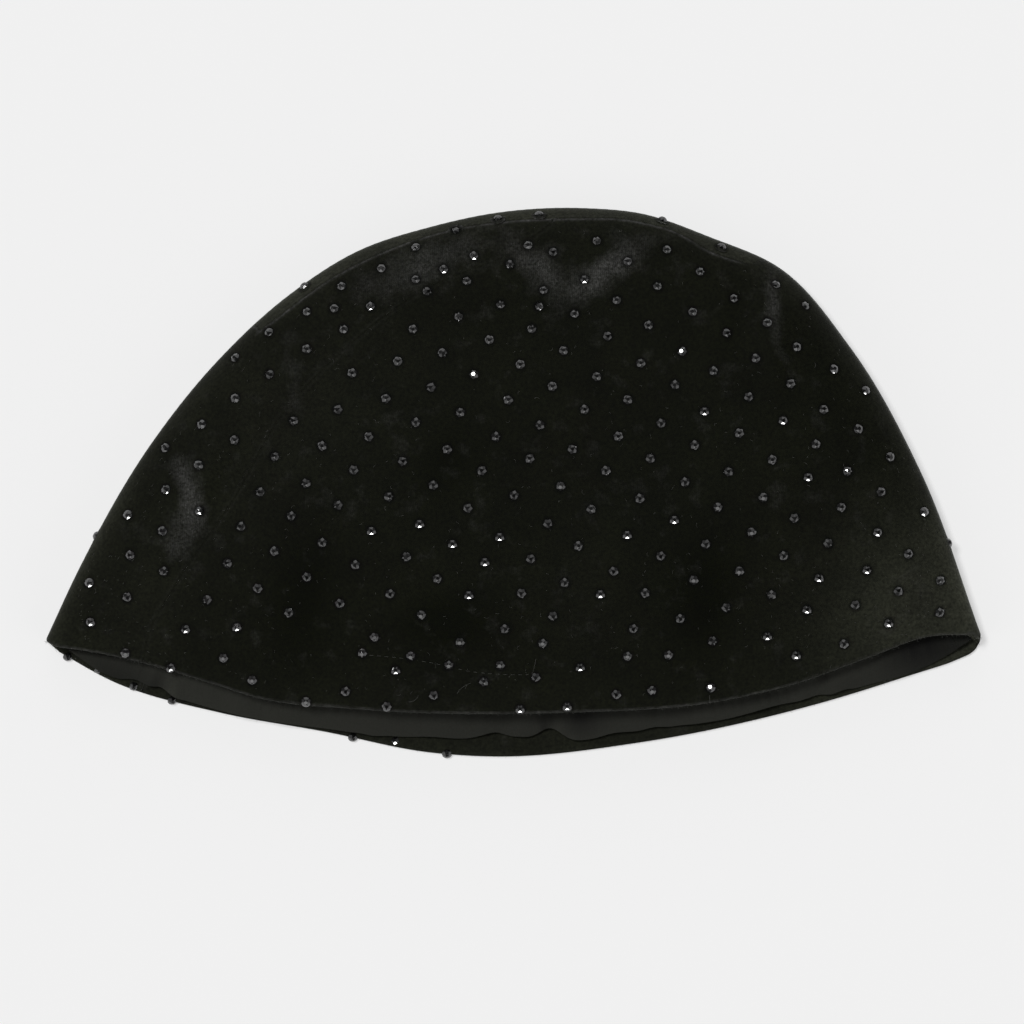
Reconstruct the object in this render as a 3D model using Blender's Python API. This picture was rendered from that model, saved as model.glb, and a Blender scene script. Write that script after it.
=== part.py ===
"""A velvet skull-cap beanie that lies on its back, built as a thin hollow shell of sewn panels.

The cap is one surface with two coordinates. s runs from the left corner of the mouth (0) to the right
corner (1). t runs from the front hem (1) over the folded outline (0) to the back hem (-1). Every piece is
a region of that surface with its own depth below it. X points right, Y to the crown and Z up.
Tables and sizes are in millimetres and become metres where the meshes are made.
"""

import math

import bpy
import numpy as np
from mathutils import Vector
from mathutils.geometry import delaunay_2d_cdt

MM = 0.001

# Driving sizes
VELVET_WALL = 1.3
HEM_TURN_WALL = 0.9
HEM_TURN_DEPTH = 14.0
HEM_TURN_EASE = 1.5
LINING_WALL = 1.0
PIECE_GAP = 0.3
LINING_SLACK = 0.6
FOLD_SOFTNESS = 6.0
FOLD_RADIUS = 5.8
TOP_SHOULDER_LIMIT = 18.0
MESH_SPACING = 10.0
LINING_SPACING = 12.0
FOLD_STEPS = (0.0, 1.0, 4.0)
FOLD_CROSSING_POINTS = 5
CORNER_POINTS = 9

# Search for the coordinates of a plan place
PLACE_STEPS = 12
PLACE_STRIDE = 0.08
PLACE_TOLERANCE = 0.02
PLACE_EDGE = 0.001

# Rounded lengths of the cloth along the fold, the mouth and a rib, for even mesh steps
FOLD_LENGTH = 350.0
MOUTH_LENGTH = 285.0
RIB_LENGTH = 130.0
BORDER_SPACING = 7.0
BORDER_CLEARANCE = 3.5

# Stones
STONE_RADIUS = 1.55
STONE_TABLE_RADIUS = 0.85
STONE_HEIGHT = 1.3
STONE_SIDES = 8
STONE_CLEARANCE = 3.4
STONE_TO_BORDER = 2.6
STONE_TO_OUTLINE = 3.0

# Plan outlines, columns x, y
FOLD_OUTLINE = (
    (-140.0, -47.4),
    (-129.5, -25.0),
    (-108.6, 11.2),
    (-87.7, 37.2),
    (-66.8, 56.3),
    (-45.9, 69.5),
    (-24.9, 76.4),
    (-4.0, 80.8),
    (22.0, 82.0),
    (37.8, 80.5),
    (58.7, 73.4),
    (79.6, 64.1),
    (100.6, 40.5),
    (121.5, 3.7),
    (140.0, -46.2),
)
FRONT_HEM = (
    (-137.6, -48.9),
    (-117.6, -52.4),
    (-91.0, -59.9),
    (-76.6, -64.4),
    (-45.9, -67.8),
    (17.5, -68.7),
    (56.3, -66.2),
    (81.4, -61.1),
    (106.5, -52.4),
    (124.0, -46.3),
    (137.6, -45.6),
)
BACK_HEM = (
    (-137.6, -49.8),
    (-119.1, -59.9),
    (-87.7, -68.9),
    (-56.3, -74.6),
    (-24.9, -80.8),
    (-6.0, -82.0),
    (37.8, -77.8),
    (90.1, -66.5),
    (121.5, -57.5),
    (137.6, -48.2),
)

# Height of the upper sheet, columns s, at the hem, in the middle, at the crown, and of the fold itself
HEIGHTS = (
    (0.00, 12.2, 12.2, 12.2, 6.0),
    (0.10, 13.0, 16.5, 14.5, 6.6),
    (0.30, 15.5, 22.5, 18.0, 7.4),
    (0.50, 17.0, 25.0, 19.0, 7.6),
    (0.70, 16.0, 23.5, 18.5, 7.4),
    (0.90, 13.0, 16.5, 14.5, 6.6),
    (1.00, 12.2, 12.2, 12.2, 6.0),
)

# Dents (minus) and crests (plus) of the upper sheet, columns x, y, turn in degrees, half length, half width, rise
FOLDS = (
    (4.0, 60.0, 6.0, 40.0, 11.0, -3.6),
    (-32.0, 63.0, 28.0, 24.0, 6.0, -1.8),
    (-86.0, -6.0, 60.0, 46.0, 9.0, -2.2),
    (-98.0, -4.0, 66.0, 20.0, 7.0, 2.2),
    (-66.0, 34.0, 62.0, 13.0, 5.0, 1.8),
    (77.0, 52.0, 92.0, 17.0, 4.0, 2.2),
    (69.0, 56.0, 80.0, 15.0, 4.5, -1.6),
    (-20.0, -56.0, -4.0, 46.0, 8.0, -1.6),
    (62.0, -46.0, 70.0, 20.0, 9.0, -1.6),
)

# Seams, columns x, y. The first two lie on the upper sheet and the last two on the lower one.
SIDE_SEAM = (
    (-110.7, -54.3),
    (-108.9, -45.4),
    (-100.9, -30.9),
    (-82.6, -3.7),
    (-68.6, 20.5),
    (-51.0, 39.0),
    (-24.9, 58.4),
    (-2.8, 67.5),
    (12.0, 77.8),
)
CROWN_SEAM = (
    (-75.5, 45.6),
    (-51.8, 62.6),
    (-26.7, 73.4),
    (-1.6, 78.2),
    (12.0, 79.0),
    (36.3, 78.2),
    (47.7, 75.2),
    (59.9, 68.6),
    (71.0, 65.0),
)
LEFT_BACK_SEAM = ((-80.0, 40.5), (-93.0, 12.0), (-105.0, -24.0), (-111.0, -62.0))
RIGHT_BACK_SEAM = ((80.0, 58.0), (93.0, 30.0), (106.0, -14.0), (112.0, -60.0))
APEX_X = 12.0

# How far the lining's edge stays from the back hem, columns x, distance
LINING_EDGE = (
    (-137.0, 7.0),
    (-118.0, 2.2),
    (-110.0, 4.6),
    (-103.0, 2.6),
    (-80.0, 2.0),
    (-50.0, 2.0),
    (-28.0, 4.8),
    (-4.0, 7.4),
    (11.0, 9.2),
    (22.0, 3.6),
    (44.0, 4.6),
    (62.0, 3.6),
    (82.0, 5.4),
    (96.0, 7.6),
    (108.0, 6.0),
    (137.0, 9.0),
)
LINING_FRONT_EDGE = 8.0
LINING_EDGE_POINTS = 46
LINING_END_S = 0.02

# Stone grids: a stone sits at origin + column * along + row * down + the bends
FRONT_GRID = {
    "origin": (7.9, 17.3),
    "along": (13.4, 3.67),
    "down": (2.98, -9.05),
    "bend_along": (-0.09, 0.042),
    "bend_across": (0.118, -0.023),
    "bend_from": 0,
    "shift": 0.5,
}
SIDE_GRID = {
    "origin": (-104.1, -1.9),
    "along": (10.55, 7.17),
    "down": (0.0, -12.25),
    "bend_along": (0.18, -0.27),
    "bend_across": (0.0, 0.0),
    "bend_from": 4,
    "shift": 0.0,
}
GRID_REACH = 22


def clear_scene():
    for old in list(bpy.data.objects):
        bpy.data.objects.remove(old, do_unlink=True)


def eased(knots, values, at):
    """A smooth curve through the rows of values, which belong to the knots, read at some places."""
    slopes = np.gradient(values, knots, axis=0)
    cell = np.clip(np.searchsorted(knots, at, side="right") - 1, 0, len(knots) - 2)
    width = (knots[cell + 1] - knots[cell])[:, None]
    q = (at - knots[cell])[:, None] / width
    return (
        (1 + 2 * q) * (1 - q) ** 2 * values[cell]
        + q * (1 - q) ** 2 * width * slopes[cell]
        + q**2 * (3 - 2 * q) * values[cell + 1]
        + q**2 * (q - 1) * width * slopes[cell + 1]
    )


def running_length(points):
    """Length along a line up to each of its points."""
    return np.concatenate([[0.0], np.cumsum(np.linalg.norm(np.diff(points, axis=0), axis=1))])


def smooth_curve(rows, samples=600):
    """Points at even steps of length along a smooth curve through the rows."""
    rows = np.array(rows)
    knots = running_length(rows)
    curve = eased(knots, rows, np.linspace(0.0, knots[-1], samples))
    length = running_length(curve)
    even = np.linspace(0.0, length[-1], samples)
    return np.column_stack([np.interp(even, length, curve[:, k]) for k in range(2)])


FOLD_CURVE = smooth_curve(FOLD_OUTLINE)
FRONT_CURVE = smooth_curve(FRONT_HEM)
BACK_CURVE = smooth_curve(BACK_HEM)
HEIGHT_ROWS = np.array(HEIGHTS)
HEM, MIDDLE, CROWN, FOLD = range(4)


def along(curve, s):
    """Points at the shares s of a curve's length."""
    spots = np.linspace(0.0, 1.0, len(curve))
    return np.column_stack([np.interp(s, spots, curve[:, k]) for k in range(2)])


def folds(plan):
    """Rise of the dents and crests at plan points."""
    rise = np.zeros(len(plan))
    for x, y, turn, half_length, half_width, amount in FOLDS:
        angle = math.radians(turn)
        offset = plan - (x, y)
        long = offset @ (math.cos(angle), math.sin(angle))
        wide = offset @ (-math.sin(angle), math.cos(angle))
        rise += amount * np.exp(-((long / half_length) ** 2) - (wide / half_width) ** 2)
    return rise


def outer_surface(s, t):
    """The cap's outside at the coordinates s and t."""
    s = np.clip(np.atleast_1d(np.asarray(s, float)), 0.0, 1.0)
    t = np.clip(np.atleast_1d(np.asarray(t, float)), -1.0, 1.0)
    front = (t >= 0)[:, None]
    hem = np.where(front, along(FRONT_CURVE, s), along(BACK_CURVE, s))
    fold = along(FOLD_CURVE, s)
    span = np.linalg.norm(hem - fold, axis=1)
    reach = np.sqrt((span + FOLD_SOFTNESS) ** 2 - FOLD_SOFTNESS**2)
    inward = np.sqrt((reach * t) ** 2 + FOLD_SOFTNESS**2) - FOLD_SOFTNESS
    plan = fold + (hem - fold) * (inward / span)[:, None]

    share = np.abs(t)
    rows = eased(HEIGHT_ROWS[:, 0], HEIGHT_ROWS[:, 1:], s)
    sheet = (
        rows[:, HEM] * share * (2 * share - 1)
        + rows[:, MIDDLE] * 4 * share * (1 - share)
        + rows[:, CROWN] * (1 - share) * (1 - 2 * share)
    )
    rise = sheet - rows[:, FOLD]
    shoulder = np.minimum(rise**2 / FOLD_RADIUS, TOP_SHOULDER_LIMIT)
    upper = rows[:, FOLD] + rise * np.sqrt(1 - np.exp(-2 * inward / shoulder))
    settled = 1 - np.exp(-((inward / TOP_SHOULDER_LIMIT) ** 2))
    upper = upper + folds(plan) * settled
    rounding = np.clip(inward / (rows[:, FOLD] ** 2 / FOLD_RADIUS), 0.0, 1.0)
    lower = rows[:, FOLD] * (1 - np.sqrt(2 * rounding - rounding**2))
    return np.column_stack([plan, np.where(t >= 0, upper, lower)])


def directions(s, t, step=2e-4):
    """How the outside moves with s and with t, and its outward normal."""
    s = np.atleast_1d(np.asarray(s, float))
    t = np.atleast_1d(np.asarray(t, float))
    after = np.clip(s + step, 0, 1)
    before = np.clip(s - step, 0, 1)
    with_s = (outer_surface(after, t) - outer_surface(before, t)) / (after - before)[:, None]
    after = np.clip(t + step, -1, 1)
    before = np.clip(t - step, -1, 1)
    with_t = (outer_surface(s, after) - outer_surface(s, before)) / (after - before)[:, None]
    normal = np.cross(with_t, with_s)
    return with_s, with_t, normal / np.linalg.norm(normal, axis=1)[:, None]


def below(points, depth):
    """Points of the surface moved inwards by a depth."""
    s, t = np.asarray(points, float).T
    return outer_surface(s, t) - directions(s, t)[2] * np.reshape(depth, (-1, 1))


def on_surface(point, vector):
    """The step in s and t that moves along the surface by a vector."""
    with_s, with_t, _ = directions(point[0], point[1])
    return np.linalg.lstsq(np.column_stack([with_s[0], with_t[0]]), vector, rcond=None)[0]


COARSE = np.array([(s, t) for s in np.linspace(0.01, 0.99, 50) for t in np.linspace(0.05, 0.97, 20)])
COARSE_PLAN = {side: outer_surface(COARSE[:, 0], side * COARSE[:, 1])[:, :2] for side in (1, -1)}


def at_plan(x, y, side):
    """The coordinates s and t whose outside point has this plan place. side is 1 above and -1 below."""
    nearest = np.argmin(np.linalg.norm(COARSE_PLAN[side] - (x, y), axis=1))
    s, t = COARSE[nearest] * (1, side)
    low, high = (PLACE_EDGE, 1.0) if side > 0 else (-1.0, -PLACE_EDGE)
    for _ in range(PLACE_STEPS):
        miss = np.array((x, y)) - outer_surface(s, t)[0, :2]
        if np.linalg.norm(miss) < PLACE_TOLERANCE:
            break
        with_s, with_t, _ = directions(s, t)
        step = np.linalg.lstsq(np.column_stack([with_s[0, :2], with_t[0, :2]]), miss, rcond=None)[0]
        step = np.clip(step, -PLACE_STRIDE, PLACE_STRIDE)
        s = float(np.clip(s + step[0], PLACE_EDGE, 1 - PLACE_EDGE))
        t = float(np.clip(t + step[1], low, high))
    return s, t


def seam(rows, side, ends=(None, None)):
    """A seam's coordinates, a point every border spacing. ends fixes t at the first and last point."""
    curve = smooth_curve(rows)
    length = running_length(curve)[-1]
    shares = np.linspace(0, 1, round(length / BORDER_SPACING) + 1)
    path = [at_plan(x, y, side) for x, y in along(curve, shares)]
    if ends[0] is not None:
        path[0] = (path[0][0], ends[0])
    if ends[1] is not None:
        path[-1] = (path[-1][0], ends[1])
    return path


def over_fold(upper, lower):
    """A seam's upper and lower stretches joined by closely spaced points round the fold."""
    bridge = np.linspace(upper[-1], lower[0], FOLD_CROSSING_POINTS + 2)[1:-1]
    return upper + [tuple(point) for point in bridge] + lower


def hem_run(s_from, s_to, t):
    """Points along a hem between two shares, without its last one."""
    count = max(1, round(abs(s_to - s_from) * MOUTH_LENGTH / BORDER_SPACING))
    return [(s, t) for s in np.linspace(s_from, s_to, count + 1)[:-1]]


def corner_turn(s, t_from, t_to):
    """Points round the mouth's corner, without the last one."""
    return [(s, t) for t in np.linspace(t_from, t_to, CORNER_POINTS)[:-1]]


def inset(outline, moves):
    """An outline that runs anticlockwise, moved inwards by each edge's own amount. Edge k leaves point k."""
    points = np.array(outline)
    count = len(points)
    result = []
    for k in range(count):
        with_s, with_t, normal = directions(*points[k])
        rows = []
        for a, b in ((k - 1, k), (k, (k + 1) % count)):
            step = points[b] - points[a]
            edge = with_s[0] * step[0] + with_t[0] * step[1]
            rows.append(np.cross(edge / np.linalg.norm(edge), normal[0]))
        push = np.linalg.lstsq(np.array(rows), (moves[k - 1], moves[k]), rcond=None)[0]
        result.append(tuple(points[k] + on_surface(points[k], push)))
    return result


def inside(outline, point):
    """Whether a point lies in an outline."""
    x, y = point
    hit = False
    for (x0, y0), (x1, y1) in zip(outline, outline[1:] + outline[:1]):
        if (y0 > y) != (y1 > y) and x < x0 + (y - y0) * (x1 - x0) / (y1 - y0):
            hit = not hit
    return hit


def rib_length(s, side):
    """Plan length of a rib from the fold to a hem."""
    return np.linalg.norm(outer_surface(s, side)[0, :2] - outer_surface(s, 0.0)[0, :2])


def rib_steps(s, side, spacing):
    """Values of t along one rib: close together round the fold, then at even steps to the hem."""
    span = rib_length(s, side)
    reach = math.sqrt((span + FOLD_SOFTNESS) ** 2 - FOLD_SOFTNESS**2)
    steps = [value for value in FOLD_STEPS if value < 0.6 * span]
    start = steps[-1]
    count = max(1, round((span - start) / spacing))
    steps += [start + (span - start) * k / count for k in range(1, count)]
    return [side * math.sqrt((value + FOLD_SOFTNESS) ** 2 - FOLD_SOFTNESS**2) / reach for value in steps]


def filling(outline, spacing):
    """Inner mesh points of a region: ribs at even steps, each with its own steps along it."""
    found = []
    border = below(outline, 0.0)
    for s in np.arange(0.5 * spacing / FOLD_LENGTH, 1.0, spacing / FOLD_LENGTH):
        steps = rib_steps(s, 1, spacing) + rib_steps(s, -1, spacing)[1:]
        rows = [(s, t) for t in steps if inside(outline, (s, t))]
        if not rows:
            continue
        for point, place in zip(rows, below(rows, 0.0)):
            if np.linalg.norm(border - place, axis=1).min() > BORDER_CLEARANCE:
                found.append(point)
    return found


def triangulated(outline, inner, rims):
    """Triangles of a region as indices into outline + inner + rims, with each rim left open."""
    points = list(outline) + list(inner) + [point for rim in rims for point in rim]
    first_rim = len(outline) + len(inner)
    loops = [range(len(outline))]
    loops += [range(first_rim + k * STONE_SIDES, first_rim + (k + 1) * STONE_SIDES) for k in range(len(rims))]
    edges = [(loop[i], loop[(i + 1) % len(loop)]) for loop in loops for i in range(len(loop))]
    flat = [Vector((s * FOLD_LENGTH, t * RIB_LENGTH)) for s, t in points]
    _, _, faces, origins, _, _ = delaunay_2d_cdt(flat, edges, [], 0, 1e-6, True)
    kept = []
    for face in faces:
        corners = [origins[i][0] for i in face]
        in_rim = min(corners) >= first_rim
        one_rim = in_rim and len({(i - first_rim) // STONE_SIDES for i in corners}) == 1
        centre = np.mean([points[i] for i in corners], axis=0)
        if not one_rim and inside(outline, centre):
            kept.append(corners)
    return points, kept


def stone_grid(rule):
    """Plan places of a grid of stones."""
    origin, step, down, bend, twist = (
        np.array(rule[k]) for k in ("origin", "along", "down", "bend_along", "bend_across")
    )
    places = []
    for row in range(-GRID_REACH, GRID_REACH + 1):
        for column in range(-GRID_REACH, GRID_REACH + 1):
            c = column + rule["shift"] * row
            past = max(c, rule["bend_from"]) - rule["bend_from"] if rule["bend_from"] else c
            places.append(origin + c * step + row * down + past * past * bend + c * row * twist)
    return places


def stones_in(outline, rule):
    """Coordinates of the grid's stones that lie whole in a region of the upper sheet."""
    border = below(outline, 0.0)
    reach = np.abs(FOLD_CURVE).max(axis=0)
    found = []
    for place in stone_grid(rule):
        outline_gap = np.linalg.norm(FOLD_CURVE - place, axis=1).min()
        if (np.abs(place) > reach).any() or outline_gap < STONE_TO_OUTLINE:
            continue
        point = at_plan(*place, 1)
        spot = below([point], 0.0)[0]
        missed = np.linalg.norm(spot[:2] - place) > 10 * PLACE_TOLERANCE
        if not missed and inside(outline, point) and border_distance(border, spot) > STONE_TO_BORDER:
            found.append(point)
    return found


def border_distance(border, spot):
    """Distance from a point to a closed line."""
    after = np.roll(border, -1, axis=0)
    run = after - border
    share = np.clip(np.sum((spot - border) * run, axis=1) / np.sum(run * run, axis=1), 0, 1)
    return np.linalg.norm(border + run * share[:, None] - spot, axis=1).min()


def ring(point, radius, count, phase=0.0):
    """Coordinates of points on a circle round a point of the surface."""
    with_s, _, normal = directions(*point)
    first = with_s[0] / np.linalg.norm(with_s[0])
    second = np.cross(normal[0], first)
    result = []
    for k in range(count):
        angle = 2 * math.pi * (k + phase) / count
        move = radius * (math.cos(angle) * first + math.sin(angle) * second)
        result.append(tuple(np.array(point) + on_surface(point, move)))
    return result


def stone_facets():
    """A stone's twelve crown facets and its square table. The rim's points come first, then the table's."""
    facets = []
    for k in range(4):
        corner = STONE_SIDES + k
        next_corner = STONE_SIDES + (k + 1) % 4
        before, middle, after = 2 * k, 2 * k + 1, (2 * k + 2) % STONE_SIDES
        facets += [(before, middle, corner), (middle, after, corner), (after, next_corner, corner)]
    table = [STONE_SIDES + k for k in range(4)]
    return [*facets, (table[0], table[1], table[2]), (table[0], table[2], table[3])]


def shell(name, outline, top_depth, base_depth, spacing, stones=()):
    """A closed piece of cloth between two depths below the outside, with stones fused on top."""
    inner = filling(outline, spacing)
    clear = inner
    if stones:
        centres = below(stones, 0.0)
        gaps = [np.linalg.norm(centres - place, axis=1).min() for place in below(inner, 0.0)]
        clear = [point for point, gap in zip(inner, gaps) if gap > STONE_CLEARANCE]
    rims = [ring(point, STONE_RADIUS, STONE_SIDES) for point in stones]
    top_points, top_faces = triangulated(outline, clear, rims)
    base_points, base_faces = triangulated(outline, inner, [])

    vertices = [*below(top_points, [top_depth(p) for p in top_points])]
    faces = [tuple(face) for face in top_faces]
    first_rim = len(outline) + len(clear)
    for k, point in enumerate(stones):
        rim = range(first_rim + k * STONE_SIDES, first_rim + (k + 1) * STONE_SIDES)
        corners = [*rim, *range(len(vertices), len(vertices) + 4)]
        vertices += [*below(ring(point, STONE_TABLE_RADIUS, 4, phase=0.25), -STONE_HEIGHT)]
        faces += [tuple(corners[i] for i in facet) for facet in stone_facets()]
    start = len(vertices)
    vertices += [*below(base_points, [base_depth(p) for p in base_points])]
    faces += [tuple(start + i for i in reversed(face)) for face in base_faces]
    count = len(outline)
    for k in range(count):
        after = (k + 1) % count
        faces.append((k, after, start + after, start + k))

    mesh = bpy.data.meshes.new(name)
    mesh.from_pydata([tuple(v * MM) for v in vertices], [], faces)
    mesh.validate()
    piece = bpy.data.objects.new(name, mesh)
    bpy.context.scene.collection.objects.link(piece)
    bpy.context.view_layer.objects.active = piece
    piece.select_set(True)
    bpy.ops.object.mode_set(mode="EDIT")
    bpy.ops.mesh.select_all(action="SELECT")
    bpy.ops.mesh.normals_make_consistent(inside=False)
    bpy.ops.object.mode_set(mode="OBJECT")
    piece.select_set(False)
    return piece


def mouth_edge():
    """Points along the whole edge of the mouth: both hems and the two corners between them."""
    shares = np.linspace(0, 1, 160)
    turns = np.linspace(-1, 1, 17)
    hems = [outer_surface(shares, np.full(len(shares), side)) for side in (1.0, -1.0)]
    corners = [outer_surface(np.full(len(turns), end), turns) for end in (0.0, 1.0)]
    return np.vstack(hems + corners)


MOUTH_EDGE = mouth_edge()


def velvet_depth(point):
    """Thickness of the velvet, doubled where the hem is turned in."""
    distance = np.linalg.norm(MOUTH_EDGE - outer_surface(*point)[0], axis=1).min()
    turned = 1 / (1 + math.exp((distance - HEM_TURN_DEPTH) / HEM_TURN_EASE))
    return VELVET_WALL + HEM_TURN_WALL * turned


def outside(point):
    return 0.0


def lining_top(point):
    return velvet_depth(point) + PIECE_GAP + LINING_SLACK


def lining_base(point):
    return lining_top(point) + LINING_WALL


def cloth(name, colour, roughness, sheen):
    material = bpy.data.materials.new(name)
    material.use_nodes = True
    shader = material.node_tree.nodes["Principled BSDF"]
    shader.inputs["Base Color"].default_value = (*colour, 1.0)
    shader.inputs["Roughness"].default_value = roughness
    shader.inputs["Metallic"].default_value = 0.0
    shader.inputs["Sheen Weight"].default_value = sheen
    return material


def seams():
    """The three seams as coordinates, each from the apex to a hem."""
    side = seam(SIDE_SEAM, 1, ends=(1.0, None))[::-1]
    left_rows = [row for row in CROWN_SEAM if row[0] <= APEX_X]
    right_rows = [row for row in CROWN_SEAM if row[0] >= APEX_X]
    left = over_fold(seam(left_rows, 1)[::-1], seam(LEFT_BACK_SEAM, -1, ends=(None, -1.0)))
    right = over_fold(seam(right_rows, 1), seam(RIGHT_BACK_SEAM, -1, ends=(None, -1.0)))
    apex = left[0]
    return [apex] + side[1:], [apex] + left[1:], [apex] + right[1:]


def lining_outline():
    """The lining's region: straight along the front, wavy along the back."""
    x, distance = np.array(LINING_EDGE).T
    front = []
    back = []
    for s in np.linspace(LINING_END_S, 1 - LINING_END_S, LINING_EDGE_POINTS):
        front.append((s, 1 - inner_share(s, 1, LINING_FRONT_EDGE)))
        place = outer_surface(s, -1)[0]
        back.append((s, -1 + inner_share(s, -1, np.interp(place[0], x, distance))))
    left = [(LINING_END_S, t) for t in np.linspace(back[0][1], front[0][1], CORNER_POINTS)[1:-1]]
    right = [(1 - LINING_END_S, t) for t in np.linspace(front[-1][1], back[-1][1], CORNER_POINTS)[1:-1]]
    return front + right + back[::-1] + left


def inner_share(s, side, distance):
    """The step in t that a distance from the hem takes, never past two fifths of the rib."""
    return min(distance / (rib_length(s, side) + FOLD_SOFTNESS), 0.4)


def region(hem, *seam_paths):
    """A panel's outline from its stretch of hem and its seams, set back by half a gap along the seams."""
    outline = hem + [point for path in seam_paths for point in path]
    moves = [0.0] * len(hem) + [PIECE_GAP / 2] * (len(outline) - len(hem))
    return inset(outline, moves)


def build():
    clear_scene()
    side_seam, left_seam, right_seam = seams()
    side_end, left_end, right_end = (path[-1][0] for path in (side_seam, left_seam, right_seam))
    left_hem = hem_run(side_end, 0.0, 1.0) + corner_turn(0.0, 1.0, -1.0) + hem_run(0.0, left_end, -1.0)
    right_hem = hem_run(right_end, 1.0, -1.0) + corner_turn(1.0, -1.0, 1.0) + hem_run(1.0, side_end, 1.0)
    back_hem = hem_run(left_end, right_end, -1.0)
    front_outline = region(right_hem, side_seam[::-1], right_seam[1:-1])
    side_outline = region(left_hem, left_seam[::-1], side_seam[1:-1])
    back_outline = region(back_hem, right_seam[::-1], left_seam[1:-1])

    velvet = cloth("black_velvet", (0.006, 0.0062, 0.005), 0.85, 0.4)
    knit = cloth("dark_knit", (0.026, 0.026, 0.022), 0.92, 0.1)
    panels = (
        ("front_panel", front_outline, FRONT_GRID),
        ("side_panel", side_outline, SIDE_GRID),
        ("back_panel", back_outline, None),
    )
    for name, outline, grid in panels:
        stones = stones_in(outline, grid) if grid else []
        piece = shell(name, outline, outside, velvet_depth, MESH_SPACING, stones)
        piece.data.materials.append(velvet)
    lining = shell("lining", lining_outline(), lining_top, lining_base, LINING_SPACING)
    lining.data.materials.append(knit)


build()
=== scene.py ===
"""Looks of the velvet skull cap: sewn velvet panels, faceted jet stones, a knitted lining, threads and lint.

The cap is one surface with two coordinates. s runs from the left corner of the mouth (0) to the right
corner (1). t runs from the front hem (1) over the folded outline (0) to the back hem (-1). Tables and sizes
are in millimetres and become metres where the meshes are made. Depth is measured inwards from the outside.
"""

import math
import random

import bpy
import numpy as np
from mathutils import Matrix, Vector
from mathutils.geometry import delaunay_2d_cdt
from mathutils.kdtree import KDTree

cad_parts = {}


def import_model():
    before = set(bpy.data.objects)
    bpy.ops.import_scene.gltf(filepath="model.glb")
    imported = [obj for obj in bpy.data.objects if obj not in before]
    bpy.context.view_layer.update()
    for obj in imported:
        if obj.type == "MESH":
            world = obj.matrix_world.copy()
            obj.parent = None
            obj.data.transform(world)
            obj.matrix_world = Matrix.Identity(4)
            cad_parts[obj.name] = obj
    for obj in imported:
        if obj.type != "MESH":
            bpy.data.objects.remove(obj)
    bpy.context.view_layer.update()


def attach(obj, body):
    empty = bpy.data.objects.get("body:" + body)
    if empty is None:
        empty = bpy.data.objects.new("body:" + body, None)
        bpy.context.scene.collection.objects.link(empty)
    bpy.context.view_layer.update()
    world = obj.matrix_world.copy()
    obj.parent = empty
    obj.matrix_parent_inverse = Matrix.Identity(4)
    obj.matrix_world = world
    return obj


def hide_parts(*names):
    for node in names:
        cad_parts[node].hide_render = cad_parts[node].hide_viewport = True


MM = 0.001

# Cloth
VELVET_WALL = 1.3
HEM_TURN_WALL = 0.9
HEM_TURN_DEPTH = 14.0
HEM_TURN_EASE = 1.5
LINING_WALL = 1.0
LINING_GAP = 0.9
FOLD_SOFTNESS = 6.0
FOLD_RADIUS = 5.8
TOP_SHOULDER_LIMIT = 18.0

# Rounded lengths of the cloth along the fold and from the fold to a hem, and mesh steps
FOLD_LENGTH = 350.0
RIB_LENGTH = 130.0
CELL = 1.25
INNER_CELL = 3.0
BORDER_STEP = 1.0
OUTER_ROWS = (0.12, 0.35, 0.7, 1.15, 1.7, 2.4)
INNER_ROWS = (0.06, 0.9, 1.8, 3.0)
OUTER_ROW_GAP = 0.5
INNER_ROW_GAP = 1.0
ROW_CLEARANCE_SHARE = 0.75
FOLD_POINTS_SHARE = 1.4
INSET_STRETCH_LIMIT = 0.4

# Hems and seams. The side seam lies almost flush, and the crown seam stands up as a ridge.
HEM_RADIUS = 1.1
SIDE_SEAM_RADIUS = 0.05
SIDE_DIP = 0.28
SIDE_DIP_WIDTH = 1.4
SIDE_DIP_FROM_X = -38.0
SIDE_DIP_EASE = 4.0
CROWN_SEAM_RADIUS = 0.15
CROWN_CREST = 0.5
CROWN_CREST_PLACE = 0.9
CROWN_CREST_WIDTH = 0.7
CROWN_FADE_FROM = (71.0, 65.0)
CROWN_FADE = 5.0
BACK_RIDGE_SHARE = 0.2
UNDERSIDE_LIFT = 0.35
SHARP_EDGE = math.radians(50)

# Rubbed pile and painted sheen beside the hems and seams: strengths, and the place and half width of the band
HEM_RUB_SHEEN = 1.2
SIDE_RUB_SHEEN = 0.12
CROWN_RUB_SHEEN = 1.7
INSIDE_RUB_SHEEN_SHARE = 0.3
HEM_RUB_SHEEN_BAND = (0.5, 0.25)
SEAM_RUB_SHEEN_BAND = (0.7, 0.4)

# Painted sheen towards the fold and the hem and on the back panel, and how much lighter the inside is
EDGE_SHEEN = 4.0
EDGE_REACH = 4.0
HEM_SHEEN = 0.5
HEM_REACH = 5.0
FACING_TONE = 1.2
BAND_SHEEN = 2.8
LEAST_TONE = -0.75

# Search for the coordinates of a plan place
PLACE_STEPS = 12
PLACE_STRIDE = 0.08
PLACE_EDGE = 0.001

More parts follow.
